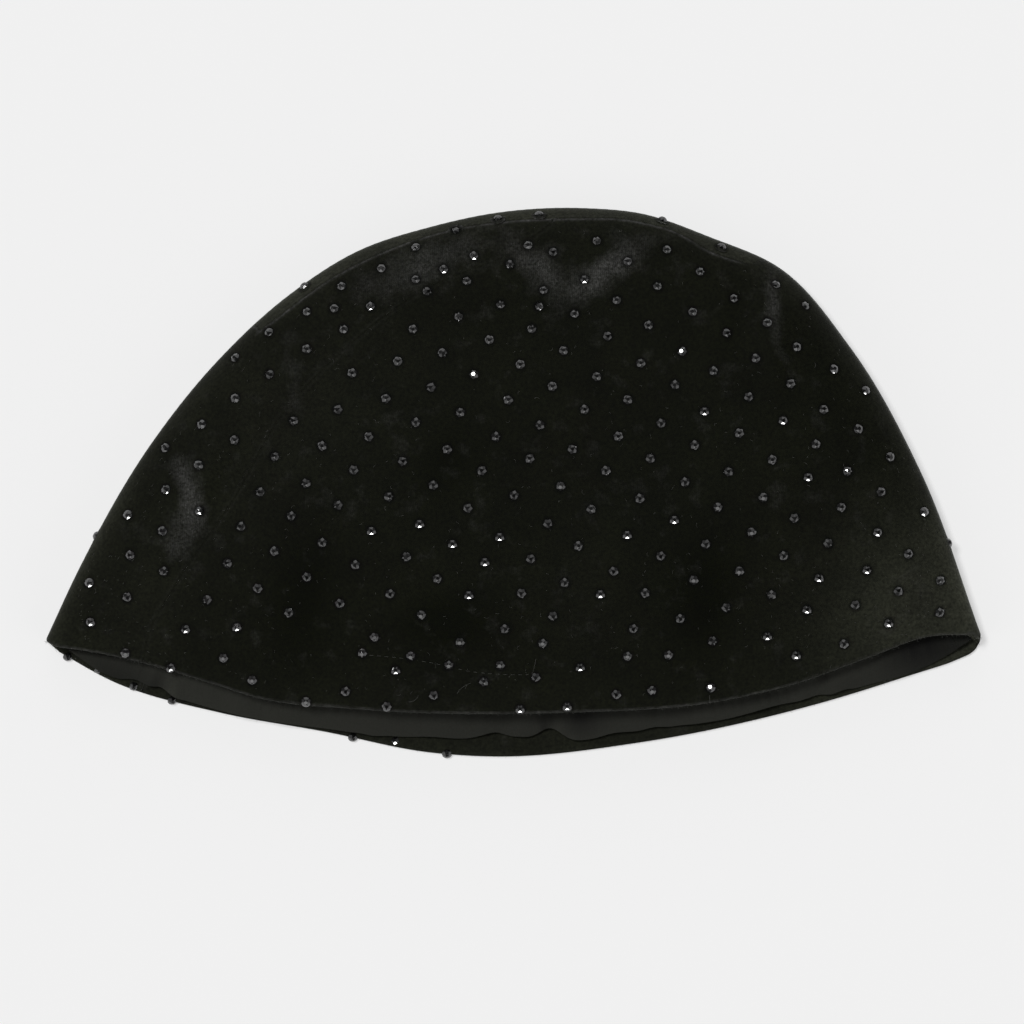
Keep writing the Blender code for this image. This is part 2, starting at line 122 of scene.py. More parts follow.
# Plan outlines, columns x, y
FOLD_OUTLINE = (
    (-140.0, -47.4), (-129.5, -25.0), (-108.6, 11.2), (-87.7, 37.2), (-66.8, 56.3), (-45.9, 69.5),
    (-24.9, 76.4), (-4.0, 80.8), (22.0, 82.0), (37.8, 80.5), (58.7, 73.4), (79.6, 64.1), (100.6, 40.5),
    (121.5, 3.7), (140.0, -46.2),
)
FRONT_HEM = (
    (-137.6, -48.9), (-117.6, -52.4), (-91.0, -59.9), (-76.6, -64.4), (-45.9, -67.8), (17.5, -68.7),
    (56.3, -66.2), (81.4, -61.1), (106.5, -52.4), (124.0, -46.3), (137.6, -45.6),
)
BACK_HEM = (
    (-137.6, -49.8), (-119.1, -59.9), (-87.7, -68.9), (-56.3, -74.6), (-24.9, -80.8), (-6.0, -82.0),
    (37.8, -77.8), (90.1, -66.5), (121.5, -56.8), (132.3, -53.2), (138.0, -50.2), (140.2, -46.8),
)

# Height of the upper sheet, columns s, at the hem, in the middle, at the crown, and of the fold itself
HEIGHTS = (
    (0.00, 12.2, 12.2, 12.2, 6.0),
    (0.10, 13.0, 16.5, 14.5, 6.6),
    (0.30, 15.5, 22.5, 18.0, 7.4),
    (0.50, 17.0, 25.0, 19.0, 7.6),
    (0.70, 16.0, 23.5, 18.5, 7.4),
    (0.90, 13.0, 16.5, 14.5, 6.6),
    (1.00, 12.2, 12.2, 12.2, 6.0),
)

# Dents (minus) and crests (plus), columns x, y, turn in degrees, half length, half width, rise
FOLDS = (
    (4.0, 60.0, 6.0, 40.0, 11.0, -3.6),
    (-32.0, 63.0, 28.0, 24.0, 6.0, -1.8),
    (-86.0, -6.0, 60.0, 46.0, 9.0, -2.2),
    (-98.0, -4.0, 66.0, 20.0, 7.0, 2.2),
    (-66.0, 34.0, 62.0, 13.0, 5.0, 1.8),
    (77.0, 52.0, 92.0, 17.0, 4.0, 2.2),
    (69.0, 56.0, 80.0, 15.0, 4.5, -1.6),
    (-20.0, -56.0, -4.0, 46.0, 8.0, -1.6),
    (62.0, -46.0, 70.0, 20.0, 9.0, -1.6),
)

# Seams, columns x, y. The first two lie on the upper sheet and the last two on the lower one.
SIDE_SEAM = (
    (-110.7, -54.3), (-108.9, -45.4), (-100.9, -30.9), (-82.6, -3.7), (-68.6, 20.5), (-51.0, 39.0),
    (-24.9, 58.4), (-2.8, 67.5), (12.0, 77.8),
)
CROWN_SEAM = (
    (-75.5, 45.6), (-51.8, 62.6), (-26.7, 73.4), (-1.6, 78.2), (12.0, 79.0), (36.3, 78.2), (47.7, 75.2),
    (59.9, 68.6), (71.0, 65.0),
)
LEFT_BACK_SEAM = ((-80.0, 40.5), (-93.0, 12.0), (-105.0, -24.0), (-111.0, -62.0))
RIGHT_BACK_SEAM = ((80.0, 58.0), (93.0, 30.0), (106.0, -14.0), (112.0, -60.0))
APEX_X = 12.0

# How far the lining's edge stays from the back hem, columns x, distance
LINING_EDGE = (
    (-137.0, 5.0), (-127.0, 1.8), (-118.0, 1.9), (-112.0, 3.6), (-108.5, 3.0), (-104.5, 3.6),
    (-101.5, 1.7), (-97.0, 1.3), (-52.0, 1.3), (-40.0, 2.4), (-25.0, 4.8), (-14.0, 5.2), (-4.9, 7.2),
    (3.0, 5.6), (10.0, 7.6), (17.5, 4.2), (24.0, 3.2), (30.0, 3.8), (41.7, 3.9), (53.6, 2.9),
    (61.7, 2.5), (82.0, 3.0), (96.0, 2.2), (106.0, 1.4), (124.0, 1.5), (130.0, 3.2), (137.0, 5.0),
)
LINING_RIPPLE = 0.22
RIPPLE_STEPS = (1.9, 8.0, 13.0)
RIPPLE_FROM = 1.4
LINING_GATHER = 0.45
GATHER_STEPS = (2.6, 14.0)
GATHER_BEND = 2.5
# The lining swells up towards the front panel a little behind the front hem
LINING_SWELL = 4.5
LINING_SWELL_PLACE = 2.0
LINING_SWELL_WIDTH = 6.0
# Places where the lining is laid over itself, columns x, y, slant, rise, reach of the raised side
LINING_PLEATS = (
    (-105.0, -58.5, 0.48, 1.5, 12.0),
    (11.0, -72.0, 1.35, 1.3, 9.0),
)
PLEAT_EDGE = 0.3
# Long creases of the lining, columns x where they start, ease (minus where they run to the left),
# heading across them, period, rise
LINING_CREASES = (
    (80.0, 8.0, 113.0, 4.6, 0.6),
    (-106.0, -2.0, 53.0, 5.5, 0.7),
)
# Painted shade and highlight on the lining, columns x, y, turn in degrees, half length, half width, share
LINING_SHADE_AND_HIGHLIGHT = (
    (124.0, -47.5, 22.0, 16.0, 3.5, -0.6),
    (105.0, -57.5, 16.0, 28.0, 2.6, -0.35),
    (20.0, -69.5, 0.0, 7.0, 2.5, -0.6),
    (11.8, -72.2, -36.0, 5.0, 0.8, 0.6),
    (9.0, -73.6, -36.0, 4.5, 1.3, -0.45),
    (-103.8, -60.5, 116.0, 5.0, 0.9, 0.5),
    (-118.0, -57.0, -25.0, 11.0, 6.0, -0.55),
    (-107.5, -61.0, 65.0, 5.0, 2.0, -0.35),
    (127.0, -50.0, 25.0, 18.0, 8.0, -0.6),
    (0.0, -70.0, 0.0, 90.0, 20.0, -0.22),
)
LINING_FRONT_EDGE = 8.0
LINING_END_S = 0.02
LINING_END_POINTS = 14
LINING_EDGE_LIMIT = 0.4
LINING_CELL = 1.8
LINING_ROWS = (0.35, 0.9, 1.6, 2.4, 3.2, 4.1, 5.0, 6.0)

# Stone grids: a stone sits at origin + column * along + row * down + the bends
FRONT_GRID = {
    "origin": (7.9, 17.3),
    "along": (13.4, 3.67),
    "down": (2.98, -9.05),
    "bend_along": (-0.09, 0.042),
    "bend_across": (0.118, -0.023),
    "bend_from": 0,
    "shift": 0.5,
}
SIDE_GRID = {
    "origin": (-104.1, -1.9),
    "along": (10.55, 7.17),
    "down": (0.0, -12.25),
    "bend_along": (0.18, -0.27),
    "bend_across": (0.0, 0.0),
    "bend_from": 4,
    "shift": 0.0,
}
GRID_REACH = 22
# Fields of stones, columns name, panel, grid, side: 1 above and -1 below
STONE_FIELDS = (
    ("front_stones", "front_panel", FRONT_GRID, 1),
    ("side_stones", "side_panel", SIDE_GRID, 1),
    ("band_stones", "back_panel", None, 1),
    ("back_stones", "back_panel", FRONT_GRID, -1),
)

# Stones: a flat back, a table and two rings of three-cornered facets, the outer ring steeper
STONE_RADIUS = 1.55
STONE_BACK_RADIUS = 0.92 * STONE_RADIUS
STONE_SHOULDER_RADIUS = 1.2
STONE_TABLE_RADIUS = 0.55
STONE_HEIGHT = 1.2
STONE_SHOULDER = 0.8
STONE_GIRDLE_LOW = 0.12
STONE_GIRDLE_HIGH = 0.3
STONE_SIDES = 6
STONE_SINK = 0.35
CROWN_STONE_SINK = 0.3
CROWN_STONE_FROM_Y = 40.0
CROWN_STONE_EASE = 8.0
STONE_UNDER_SINK = 1.3
STONE_LEAN = 6.0
STONE_SPIN = 2.0
STONE_DRIFT = 0.45
STONE_DRIFT_LIMIT = 1.5 * STONE_DRIFT
STONE_TO_BORDER = 2.2
STONE_PULL = 4.5
STONE_APART = 3.6
GLINT_REACH = 0.5
STONE_MISS = 0.2
DRIFT_SEED = 11
RIM_SEED = 9
BAND_STONE_UPWARD = 2.5
BAND_STONE_SINK = 0.8
RIM_STONE_RISE = 1.6
RIM_STONE_OUTWARD = 0.7

# Pile pressed flat round a stone
RING_SIDES = 12
RING_INNER = 1.3
RING_OUTER = 2.4
RING_LIFT = 0.05
RING_DEPTH = 0.2

# Camera, straight above the middle of the photograph
PHOTO_PIXELS = 1024
FRAME_WIDTH = 306.0
FRAME_CENTRE = (-0.45, -8.8)
CAMERA_FOCUS_HEIGHT = 7.0
CAMERA_LENS = 400.0
CAMERA_SENSOR = 36.0

# Lights, columns azimuth counted anticlockwise from +X, elevation, strength, size in degrees, then the
# windows' strength, how much of it is left between them and overhead, and the floor's size in metres
KEY_LIGHT = (140.0, 69.0, 2.1, 14.0)
FRONT_FILL = (-90.0, 50.0, 0.5, 40.0)
GLINT_LIGHT = (-88.0, 18.0, 0.5, 8.0)
WINDOW_LIGHT = 0.75
WINDOW_DARK_SHARE = 0.1
OVERHEAD_SHARE = 0.1
OVERHEAD_FROM = 0.55
OVERHEAD_TO = 0.85
FLOOR_SIZE = 30.0
KEY_CLEARANCE = 8.0

# Stones with a facet that catches the front light, as pixels x, y of the photograph
FACET_GLINTS = (
    (305, 287), (269.5, 333), (371, 307), (416, 248), (444, 270), (474, 256.5), (584, 280), (498, 220),
    (662, 221), (703.5, 412), (865, 391), (782, 421), (807, 477.5), (923.5, 512), (673.5, 520),
    (626.6, 535), (499.7, 537), (452.8, 544), (372, 531), (420, 524), (485, 562), (469, 595),
    (600, 594), (591, 624), (396, 670), (580.5, 667), (567, 706), (876.6, 532.5), (866, 570),
    (818, 578), (806, 609.5), (888, 623), (766.6, 636), (795.6, 655), (128.5, 515), (201, 511),
    (90, 583), (91, 622), (186, 629), (237.6, 627), (171, 667.5), (721, 248), (520, 708.5),
)
# Stones whose table catches the key light
TABLE_GLINTS = ((474, 375), (681, 352), (710, 687))

# Stones off the grids, along the side seam, under the crown and above the hem, as pixels x, y, and then
# those that the grids have too many of
EXTRA_STONES = (
    (335, 309), (428, 292), (416, 280), (469, 280), (456, 231), (498, 220), (444, 270), (474, 256.5),
    (378, 265), (416, 248), (528, 246), (549, 255), (539, 307), (662, 221), (305, 287), (721, 248),
    (539, 216), (126, 653), (171, 667.5), (939, 612.5), (306.5, 701.5), (375, 637),
    (362.5, 653), (411, 656), (460, 642), (396, 670), (449, 665), (346, 691), (434, 695), (387, 706),
    (542.5, 643), (500, 665), (484, 681), (535.5, 677), (580, 667), (520, 708.5), (567, 706),
    (616, 694), (627, 656),
)
MISSING_STONES = (
    (270, 416), (235, 481), (271, 647), (305, 673), (322, 637), (127, 635.5), (932.5, 617),
    (372, 625.5), (748.5, 666.5),
)
# The stones above the middle of the hem don't follow the grid: two opposite corners of their place
UNEVEN_STONES = ((328, 630), (633, 716))
# Stones of the back panel that show below the front hem
RIM_STONES = ((68, 659), (98.5, 670), (133.5, 687), (172, 701), (353, 740), (395, 742), (447, 757))

# Crushed pile with a painted sheen, columns x, y, turn in degrees, half length, half width, strength
CRUSHED_PILE_SHEEN = (
    (-26.0, 65.0, 23.0, 18.0, 5.5, 0.75),
    (7.2, 64.2, -38.0, 10.0, 4.5, 0.85),
    (18.5, 57.0, 10.0, 8.0, 4.5, 0.15),
    (28.5, 64.0, 37.0, 13.0, 4.0, 1.0),
    (77.2, 54.0, 92.0, 12.0, 2.2, 0.7),
    (-99.0, 2.5, -70.0, 6.0, 2.2, 0.6),
    (-95.5, -5.5, -80.0, 9.0, 4.0, 0.6),
    (-98.5, -16.0, 60.0, 8.0, 4.0, 0.6),
    (-66.2, 31.5, -80.0, 8.0, 3.0, 0.35),
    (-71.5, 16.0, 60.0, 7.0, 1.6, 0.15),
)

# Where the painted sheen at the fold is stronger still, columns x, y, turn in degrees, half length, half width,
# tone
EDGE_SHEEN_SPOTS = (
    (128.0, -28.0, 119.0, 24.0, 20.0, 8.5),
    (-122.0, -18.0, 61.0, 22.0, 20.0, 3.0),
)

# Painted sheen and shade, lighter and darker velvet, columns x, y, turn in degrees, half length, half width,
# tone
NAP_SHEEN_AND_SHADE = (
    (122.0, -38.0, 60.0, 32.0, 26.0, 4.2),
    (-72.0, 18.0, 40.0, 46.0, 26.0, 0.7),
    (-112.0, -40.0, 60.0, 26.0, 12.0, 0.8),
    (-63.0, -34.0, 80.0, 22.0, 10.0, -0.8),
    (-19.0, -42.0, 0.0, 15.0, 9.0, -0.9),
    (57.0, -32.0, 90.0, 17.0, 12.0, -0.8),
    (-20.0, 6.0, 60.0, 12.0, 9.0, -0.6),
    (20.0, -30.0, 90.0, 22.0, 9.0, 0.4),
)

# Lint, pile that stands off the edges, and loose threads
LINT_COUNT = 850
LINT_LENGTH = (0.4, 2.2)
LINT_RADIUS = 0.028
LINT_POINTS = 6
LINT_LIFT = 1.5 * LINT_RADIUS
LINT_SEED = 7
LINT_S = (0.04, 0.96)
LINT_T = (0.06, 0.97)
LINT_SHORTENED = (0.4, 1.0)
LINT_CURL = 0.5
FRINGE_STEP = 0.45
FRINGE_LENGTH = (0.25, 0.8)
FRINGE_RADIUS = 0.025
FRINGE_ROOT_DEPTH = 0.5
FRINGE_ROOT_SPREAD = 0.9
FRINGE_MIDDLE = 0.6
FRINGE_BEND = 0.15
FRINGE_OUTWARD = (0.1, 0.8)
FRINGE_UPWARD = (0.0, 0.9)
FRINGE_SIDEWAYS = 0.5
THREAD_RADIUS = 0.04
THREAD_POINTS = 14
STITCH_POINTS = 50
# Threads, as pixels x, y of the photograph, first heading in degrees, length, turn in degrees along it
THREADS = (
    (456, 695, 62.0, 6.0, -45.0),
    (531, 676, 68.0, 5.5, 15.0),
    (408, 701, -10.0, 4.0, 80.0),
    (709, 694, -88.0, 3.2, 5.0),
)
# The stitches of the turned hem, as pixels x, y
STITCHES = ((355, 654), (380, 655.5), (412, 659), (440, 664), (471, 671), (504, 674), (537, 674))

# Colours of the velvet: of its nap, how that grows with the painted tone, and the painted sheen of crushed and
# rubbed pile.
# Then the height of the fine relief of the velvet and the knit.
NAP_COLOUR = (0.0031, 0.0036, 0.0015)
NAP_PER_TONE_AND_LIGHT = (0.0028, 0.0029, 0.0022)
PAINTED_SHEEN_COLOUR = (0.032, 0.032, 0.03, 1.0)
RELIEF_HEIGHT = 0.2


def eased(knots, values, at):
    """A smooth curve through the rows of values, which belong to the knots, read at some places."""
    slopes = np.gradient(values, knots, axis=0)
    cell = np.clip(np.searchsorted(knots, at, side="right") - 1, 0, len(knots) - 2)
    width = (knots[cell + 1] - knots[cell])[:, None]
    q = (at - knots[cell])[:, None] / width
    return (
        (1 + 2 * q) * (1 - q) ** 2 * values[cell]
        + q * (1 - q) ** 2 * width * slopes[cell]
        + q**2 * (3 - 2 * q) * values[cell + 1]
        + q**2 * (q - 1) * width * slopes[cell + 1]
    )


def unit(vectors):
    """Rows of vectors, each with the length 1."""
    return vectors / np.linalg.norm(vectors, axis=1)[:, None]


def heading(degrees):
    """The plan direction of an angle."""
    return np.array([math.cos(math.radians(degrees)), math.sin(math.radians(degrees))])


def past(values, start, ease):
    """A share that grows softly from 0 to 1 where the values pass a start."""
    return 1 / (1 + np.exp((start - values) / ease))


def running_length(points):
    """Length along a line up to each of its points."""
    return np.concatenate([[0.0], np.cumsum(np.linalg.norm(np.diff(points, axis=0), axis=1))])


def read_rows(knots, rows, at):
    """A line's points read at some places between its knots."""
    return np.column_stack([np.interp(at, knots, rows[:, k]) for k in range(2)])


def smooth_curve(rows, samples=600):
    """Points at even steps of length along a smooth curve through the rows."""
    rows = np.array(rows)
    knots = running_length(rows)
    curve = eased(knots, rows, np.linspace(0.0, knots[-1], samples))
    length = running_length(curve)
    return read_rows(length, curve, np.linspace(0.0, length[-1], samples))


FOLD_CURVE = smooth_curve(FOLD_OUTLINE)
FRONT_CURVE = smooth_curve(FRONT_HEM)
BACK_CURVE = smooth_curve(BACK_HEM)
HEIGHT_ROWS = np.array(HEIGHTS)
HEM, MIDDLE, CROWN, FOLD = range(4)


def along(curve, s):
    """Points at the shares s of a curve's length."""
    return read_rows(np.linspace(0.0, 1.0, len(curve)), curve, s)


def mounds(table, plan):
    """Sum of long soft mounds at plan points."""
    rise = np.zeros(len(plan))
    for x, y, turn, half_length, half_width, amount in table:
        offset = plan - (x, y)
        long = offset @ heading(turn) / half_length
        wide = offset @ heading(turn + 90) / half_width
        rise += amount * np.exp(-(long**2) - wide**2)
    return rise


def outer_surface(s, t):
    """The cap's outside at the coordinates s and t."""
    s = np.clip(np.atleast_1d(np.asarray(s, float)), 0.0, 1.0)
    t = np.clip(np.atleast_1d(np.asarray(t, float)), -1.0, 1.0)
    front = (t >= 0)[:, None]
    hem = np.where(front, along(FRONT_CURVE, s), along(BACK_CURVE, s))
    fold = along(FOLD_CURVE, s)
    span = np.linalg.norm(hem - fold, axis=1)
    reach = np.sqrt((span + FOLD_SOFTNESS) ** 2 - FOLD_SOFTNESS**2)
    inward = np.sqrt((reach * t) ** 2 + FOLD_SOFTNESS**2) - FOLD_SOFTNESS
    plan = fold + (hem - fold) * (inward / span)[:, None]

    share = np.abs(t)
    rows = eased(HEIGHT_ROWS[:, 0], HEIGHT_ROWS[:, 1:], s)
    sheet = (
        rows[:, HEM] * share * (2 * share - 1)
        + rows[:, MIDDLE] * 4 * share * (1 - share)
        + rows[:, CROWN] * (1 - share) * (1 - 2 * share)
    )
    rise = sheet - rows[:, FOLD]
    shoulder = np.minimum(rise**2 / FOLD_RADIUS, TOP_SHOULDER_LIMIT)
    upper = rows[:, FOLD] + rise * np.sqrt(1 - np.exp(-2 * inward / shoulder))
    settled = 1 - np.exp(-((inward / TOP_SHOULDER_LIMIT) ** 2))
    upper = upper + mounds(FOLDS, plan) * settled
    rounding = np.clip(inward / (rows[:, FOLD] ** 2 / FOLD_RADIUS), 0.0, 1.0)
    lower = rows[:, FOLD] * (1 - np.sqrt(2 * rounding - rounding**2))
    return np.column_stack([plan, np.where(t >= 0, upper, lower)])


def surface(points):
    """The cap's outside at rows of coordinates."""
    return outer_surface(*points.T)


def directions(s, t, step=2e-4):
    """How the outside moves with s and with t, and its outward normal."""
    after = np.clip(s + step, 0, 1)
    before = np.clip(s - step, 0, 1)
    with_s = (outer_surface(after, t) - outer_surface(before, t)) / (after - before)[:, None]
    after = np.clip(t + step, -1, 1)
    before = np.clip(t - step, -1, 1)
    with_t = (outer_surface(s, after) - outer_surface(s, before)) / (after - before)[:, None]
    return with_s, with_t, unit(np.cross(with_t, with_s))


def below(points, depth):
    """Places at a depth, or at one depth each, below the outside."""
    return surface(points) - directions(*points.T)[2] * np.reshape(depth, (-1, 1))


def surface_step(points, vectors):
    """The steps in s and t that move along the surface by the vectors."""
    with_s, with_t, _ = directions(*points.T)
    frames = np.stack([with_s, with_t], axis=2)
    return (np.linalg.pinv(frames) @ vectors[:, :, None])[:, :, 0]


COARSE = np.array([(s, t) for s in np.linspace(0.01, 0.99, 50) for t in np.linspace(0.05, 0.97, 20)])
COARSE_PLAN = {side: outer_surface(COARSE[:, 0], side * COARSE[:, 1])[:, :2] for side in (1, -1)}


def at_plan(places, side):
    """The coordinates whose outside points have these plan places. side is 1 above and -1 below."""
    places = np.atleast_2d(places)
    gaps = np.linalg.norm(COARSE_PLAN[side][None] - places[:, None], axis=2)
    points = COARSE[np.argmin(gaps, axis=1)] * (1, side)
    low, high = (PLACE_EDGE, 1.0) if side > 0 else (-1.0, -PLACE_EDGE)
    for _ in range(PLACE_STEPS):
        s, t = points.T
        miss = places - outer_surface(s, t)[:, :2]
        with_s, with_t, _ = directions(s, t)
        frames = np.stack([with_s[:, :2], with_t[:, :2]], axis=2)
        step = (np.linalg.pinv(frames) @ miss[:, :, None])[:, :, 0]
        points = points + np.clip(step, -PLACE_STRIDE, PLACE_STRIDE)
        points[:, 0] = np.clip(points[:, 0], PLACE_EDGE, 1 - PLACE_EDGE)
        points[:, 1] = np.clip(points[:, 1], low, high)
    return points


def seam(rows, side, first_t=None, last_t=None):
    """A seam's coordinates, a point every border step."""
    curve = smooth_curve(rows)
    shares = np.linspace(0, 1, round(running_length(curve)[-1] / BORDER_STEP) + 1)
    path = at_plan(along(curve, shares), side)
    if first_t is not None:
        path[0, 1] = first_t
    if last_t is not None:
        path[-1, 1] = last_t
    return path


def over_fold(upper, lower):
    """A seam's upper and lower stretches joined by closely spaced points round the fold."""
    gap = np.linalg.norm(outer_surface(*upper[-1]) - outer_surface(*lower[0]))
    bridge = np.linspace(upper[-1], lower[0], round(FOLD_POINTS_SHARE * gap / BORDER_STEP) + 2)[1:-1]
    return np.vstack([upper, bridge, lower])


def seams():
    """The three seams as coordinates, each from the apex to a hem."""
    side = seam(SIDE_SEAM, 1, first_t=1.0)[::-1]
    left_rows = [row for row in CROWN_SEAM if row[0] <= APEX_X]
    right_rows = [row for row in CROWN_SEAM if row[0] >= APEX_X]
    left = over_fold(seam(left_rows, 1)[::-1], seam(LEFT_BACK_SEAM, -1, last_t=-1.0))
    right = over_fold(seam(right_rows, 1), seam(RIGHT_BACK_SEAM, -1, last_t=-1.0))
    apex = left[:1]
    return np.vstack([apex, side[1:]]), np.vstack([apex, left[1:]]), np.vstack([apex, right[1:]])


def hem_run(s_from, s_to, t):
    """Points along a hem between two shares, without its last one."""
    count = max(2, round(abs(s_to - s_from) * FOLD_LENGTH / BORDER_STEP))
    return np.column_stack([np.linspace(s_from, s_to, count + 1)[:-1], np.full(count, t)])


def corner_turn(s, t_from, t_to, count=12):
    """Points round the mouth's corner, without the last one."""
    return np.column_stack([np.full(count, s), np.linspace(t_from, t_to, count + 1)[:-1]])


def inset(outline, distance):
    """An outline that runs anticlockwise, moved inwards along the surface."""
    with_s, with_t, normal = directions(*outline.T)

    def inward(step):
        edge = with_s * step[:, :1] + with_t * step[:, 1:]
        return unit(np.cross(edge, normal))

    before = inward(outline - np.roll(outline, 1, axis=0))
    after = inward(np.roll(outline, -1, axis=0) - outline)
    middle = unit(before + after)
    stretch = np.clip(np.sum(middle * after, axis=1), INSET_STRETCH_LIMIT, 1.0)
    return outline + surface_step(outline, middle * (distance / stretch)[:, None])


def flattened(points):
    """The surface's coordinates laid flat at about their real distances."""
    s, t = points.T
    side = np.where(t >= 0, 1.0, -1.0)
    span = np.linalg.norm((outer_surface(s, side) - outer_surface(s, np.zeros(len(s))))[:, :2], axis=1)
    return np.column_stack([s * FOLD_LENGTH, t * (span + 2 * FOLD_SOFTNESS)])


def inside(outline, points):
    """Whether each point lies in an outline."""
    hit = np.zeros(len(points), bool)
    x, y = points.T
    for (x0, y0), (x1, y1) in zip(outline, np.roll(outline, -1, axis=0)):
        crosses = (y0 > y) != (y1 > y)
        if crosses.any():
            hit ^= crosses & (x < x0 + (y - y0) * (x1 - x0) / (y1 - y0 + 1e-30))
    return hit


def distances(line, places):
    """Distance from each place to the nearest point of a line, given as points."""
    tree = KDTree(len(line))
    for k, point in enumerate(line):
        tree.insert(point, k)
    tree.balance()
    return np.array([tree.find(place)[2] for place in places])


def clear_inside(outline, points, clearance):
    """The points that lie inside an outline, farther from it than the clearance."""
    points = points[inside(outline, points)]
    return points[distances(surface(outline), surface(points)) > clearance]


def filling(outline, spacing, clearance):
    """Inner mesh points of a region, at even steps along ribs, clear of the outline."""
    columns = np.arange(0.5 * spacing / FOLD_LENGTH, 1.0, spacing / FOLD_LENGTH)
    found = []
    for side in (1, -1):
        ends = outer_surface(columns, np.full(len(columns), float(side)))
        folds = outer_surface(columns, np.zeros(len(columns)))
        spans = np.linalg.norm((ends - folds)[:, :2], axis=1) + FOLD_SOFTNESS
        for k, (s, span) in enumerate(zip(columns, spans)):
            count = max(2, round(span / spacing))
            steps = (np.arange(count) + (0.25 if k % 2 else 0.75)) / count
            found.append(np.column_stack([np.full(count, s), side * steps]))
    return clear_inside(outline, np.vstack(found), clearance)


def rows_inside(outline, insets):
    """Rows of points that follow an outline at some distances inside it."""
    found = []
    for distance in insets:
        row = inset(outline, np.full(len(outline), distance))
        found.append(clear_inside(outline, row, ROW_CLEARANCE_SHARE * distance))
    return np.vstack(found)


def mesh_points(outline, insets, spacing, gap):
    """A region's inner mesh points: rows along its outline and an even filling."""
    return np.vstack([rows_inside(outline, insets), filling(outline, spacing, insets[-1] + gap)])


def triangulated(outline, inner):
    """Triangles of a region as indices into the outline and then the inner points."""
    points = np.vstack([outline, inner])
    flat = [Vector(place) for place in flattened(points)]
    count = len(outline)
    edges = [(k, (k + 1) % count) for k in range(count)]
    _, _, faces, origins, _, _ = delaunay_2d_cdt(flat, edges, [], 0, 1e-6, True)
    corners = np.array([[origins[i][0] for i in face] for face in faces])
    return corners[inside(outline, points[corners].mean(axis=1))]


def turned_under(faces, outline, outer):
    """An inside's faces turned over, with its own points counted after those of the outside."""
    faces = faces[:, ::-1]
    return np.where(faces >= len(outline), faces + len(outer), faces)


def rounded(distance, radius):
    """Depth of a rounded edge at a distance from it."""
    inward = np.clip(distance, 0, radius)
    return radius - np.sqrt(radius**2 - (radius - inward) ** 2)


def bump(distance, place, width):
    """A soft ridge at a place."""
    return np.exp(-(((distance - place) / width) ** 2))


def cap_collection():
    """The collection of the cap's pieces, which the fill lights shine on."""
    found = bpy.data.collections.get("cap")
    if found is None:
        found = bpy.data.collections.new("cap")
        bpy.context.scene.collection.children.link(found)
    return found


def mesh_object(name, vertices, faces, material, smooth=True):
    """An object from points in millimetres."""
    mesh = bpy.data.meshes.new(name)
    vertices = np.maximum(vertices, (-np.inf, -np.inf, 0.0))
    mesh.from_pydata((vertices * MM).tolist(), [], [tuple(map(int, face)) for face in faces])
    mesh.validate()
    mesh.materials.append(material)
    if smooth:
        mesh.shade_smooth()
        mesh.set_sharp_from_angle(angle=SHARP_EDGE)
    piece = bpy.data.objects.new(name, mesh)
    cap_collection().objects.link(piece)
    return piece


def added_piece(name, vertices, faces, material, smooth=False):
    """A piece that only the scene has."""
    piece = mesh_object(name, vertices, faces, material, smooth)
    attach(piece, "root")
    return piece


def add_attribute(piece, name, values):
    """A number per vertex that the material reads."""
    layer = piece.data.attributes.new(name, "FLOAT", "POINT")
    layer.data.foreach_set("value", np.asarray(values, np.float32))


def velvet_wall(hem_distance):
    """Thickness of the velvet, which is larger where the hem is turned in."""
    return VELVET_WALL + HEM_TURN_WALL * (1 - past(hem_distance, HEM_TURN_DEPTH, HEM_TURN_EASE))


def ridge_left(places):
    """Share of the crown seam's ridge, which fades out at its right end."""
    return 1 - bump(np.linalg.norm(places[:, :2] - CROWN_FADE_FROM, axis=1), 0.0, CROWN_FADE)


def velvet_depths(places, lines, ridge=1.0):
    """Depth of the velvet's outside and inside. ridge is the share of the crown seam's full height."""
    hem, beside, crown = (distances(line, places) for line in lines)
    fall = rounded(hem, HEM_RADIUS)
    fall += rounded(beside, SIDE_SEAM_RADIUS)
    fall += rounded(crown, CROWN_SEAM_RADIUS)
    creased = past(places[:, 0], SIDE_DIP_FROM_X, SIDE_DIP_EASE)
    fall += SIDE_DIP * creased * bump(beside, 0.0, SIDE_DIP_WIDTH)
    crest = CROWN_CREST * ridge * ridge_left(places) * bump(crown, CROWN_CREST_PLACE, CROWN_CREST_WIDTH)
    return fall - crest, velvet_wall(hem) - fall


def velvet_marks(points, lines, ridge=1.0):
    """How far the pile is crushed and rubbed, with a painted sheen, and its painted sheen and shade, at some
    coordinates.
    """
    s, t = points.T
    places = outer_surface(s, t)
    hem, beside, crown = (distances(line, places) for line in lines)
    fold = np.linalg.norm((places - outer_surface(s, np.zeros(len(s))))[:, :2], axis=1)
    # Crushed pile on the upper sheet, shown with a painted sheen
    crushed_sheen = mounds(CRUSHED_PILE_SHEEN, places[:, :2]) * (t > 0)
    # Rubbed pile beside the hems and seams, with a painted sheen along these edges
    rubbed_and_sheen = HEM_RUB_SHEEN * bump(hem, *HEM_RUB_SHEEN_BAND) + SIDE_RUB_SHEEN * bump(beside, *SEAM_RUB_SHEEN_BAND)
    rubbed_and_sheen += CROWN_RUB_SHEEN * ridge * ridge_left(places) * bump(crown, *SEAM_RUB_SHEEN_BAND)
    # Tone: painted sheen towards the fold and the hem, and painted sheen and shade in places
    tone_and_painted_light = (EDGE_SHEEN + mounds(EDGE_SHEEN_SPOTS, places[:, :2])) * np.exp(-fold / EDGE_REACH)
    tone_and_painted_light += HEM_SHEEN * np.exp(-hem / HEM_REACH) + mounds(NAP_SHEEN_AND_SHADE, places[:, :2])
    return crushed_sheen, rubbed_and_sheen, np.maximum(tone_and_painted_light, LEAST_TONE)


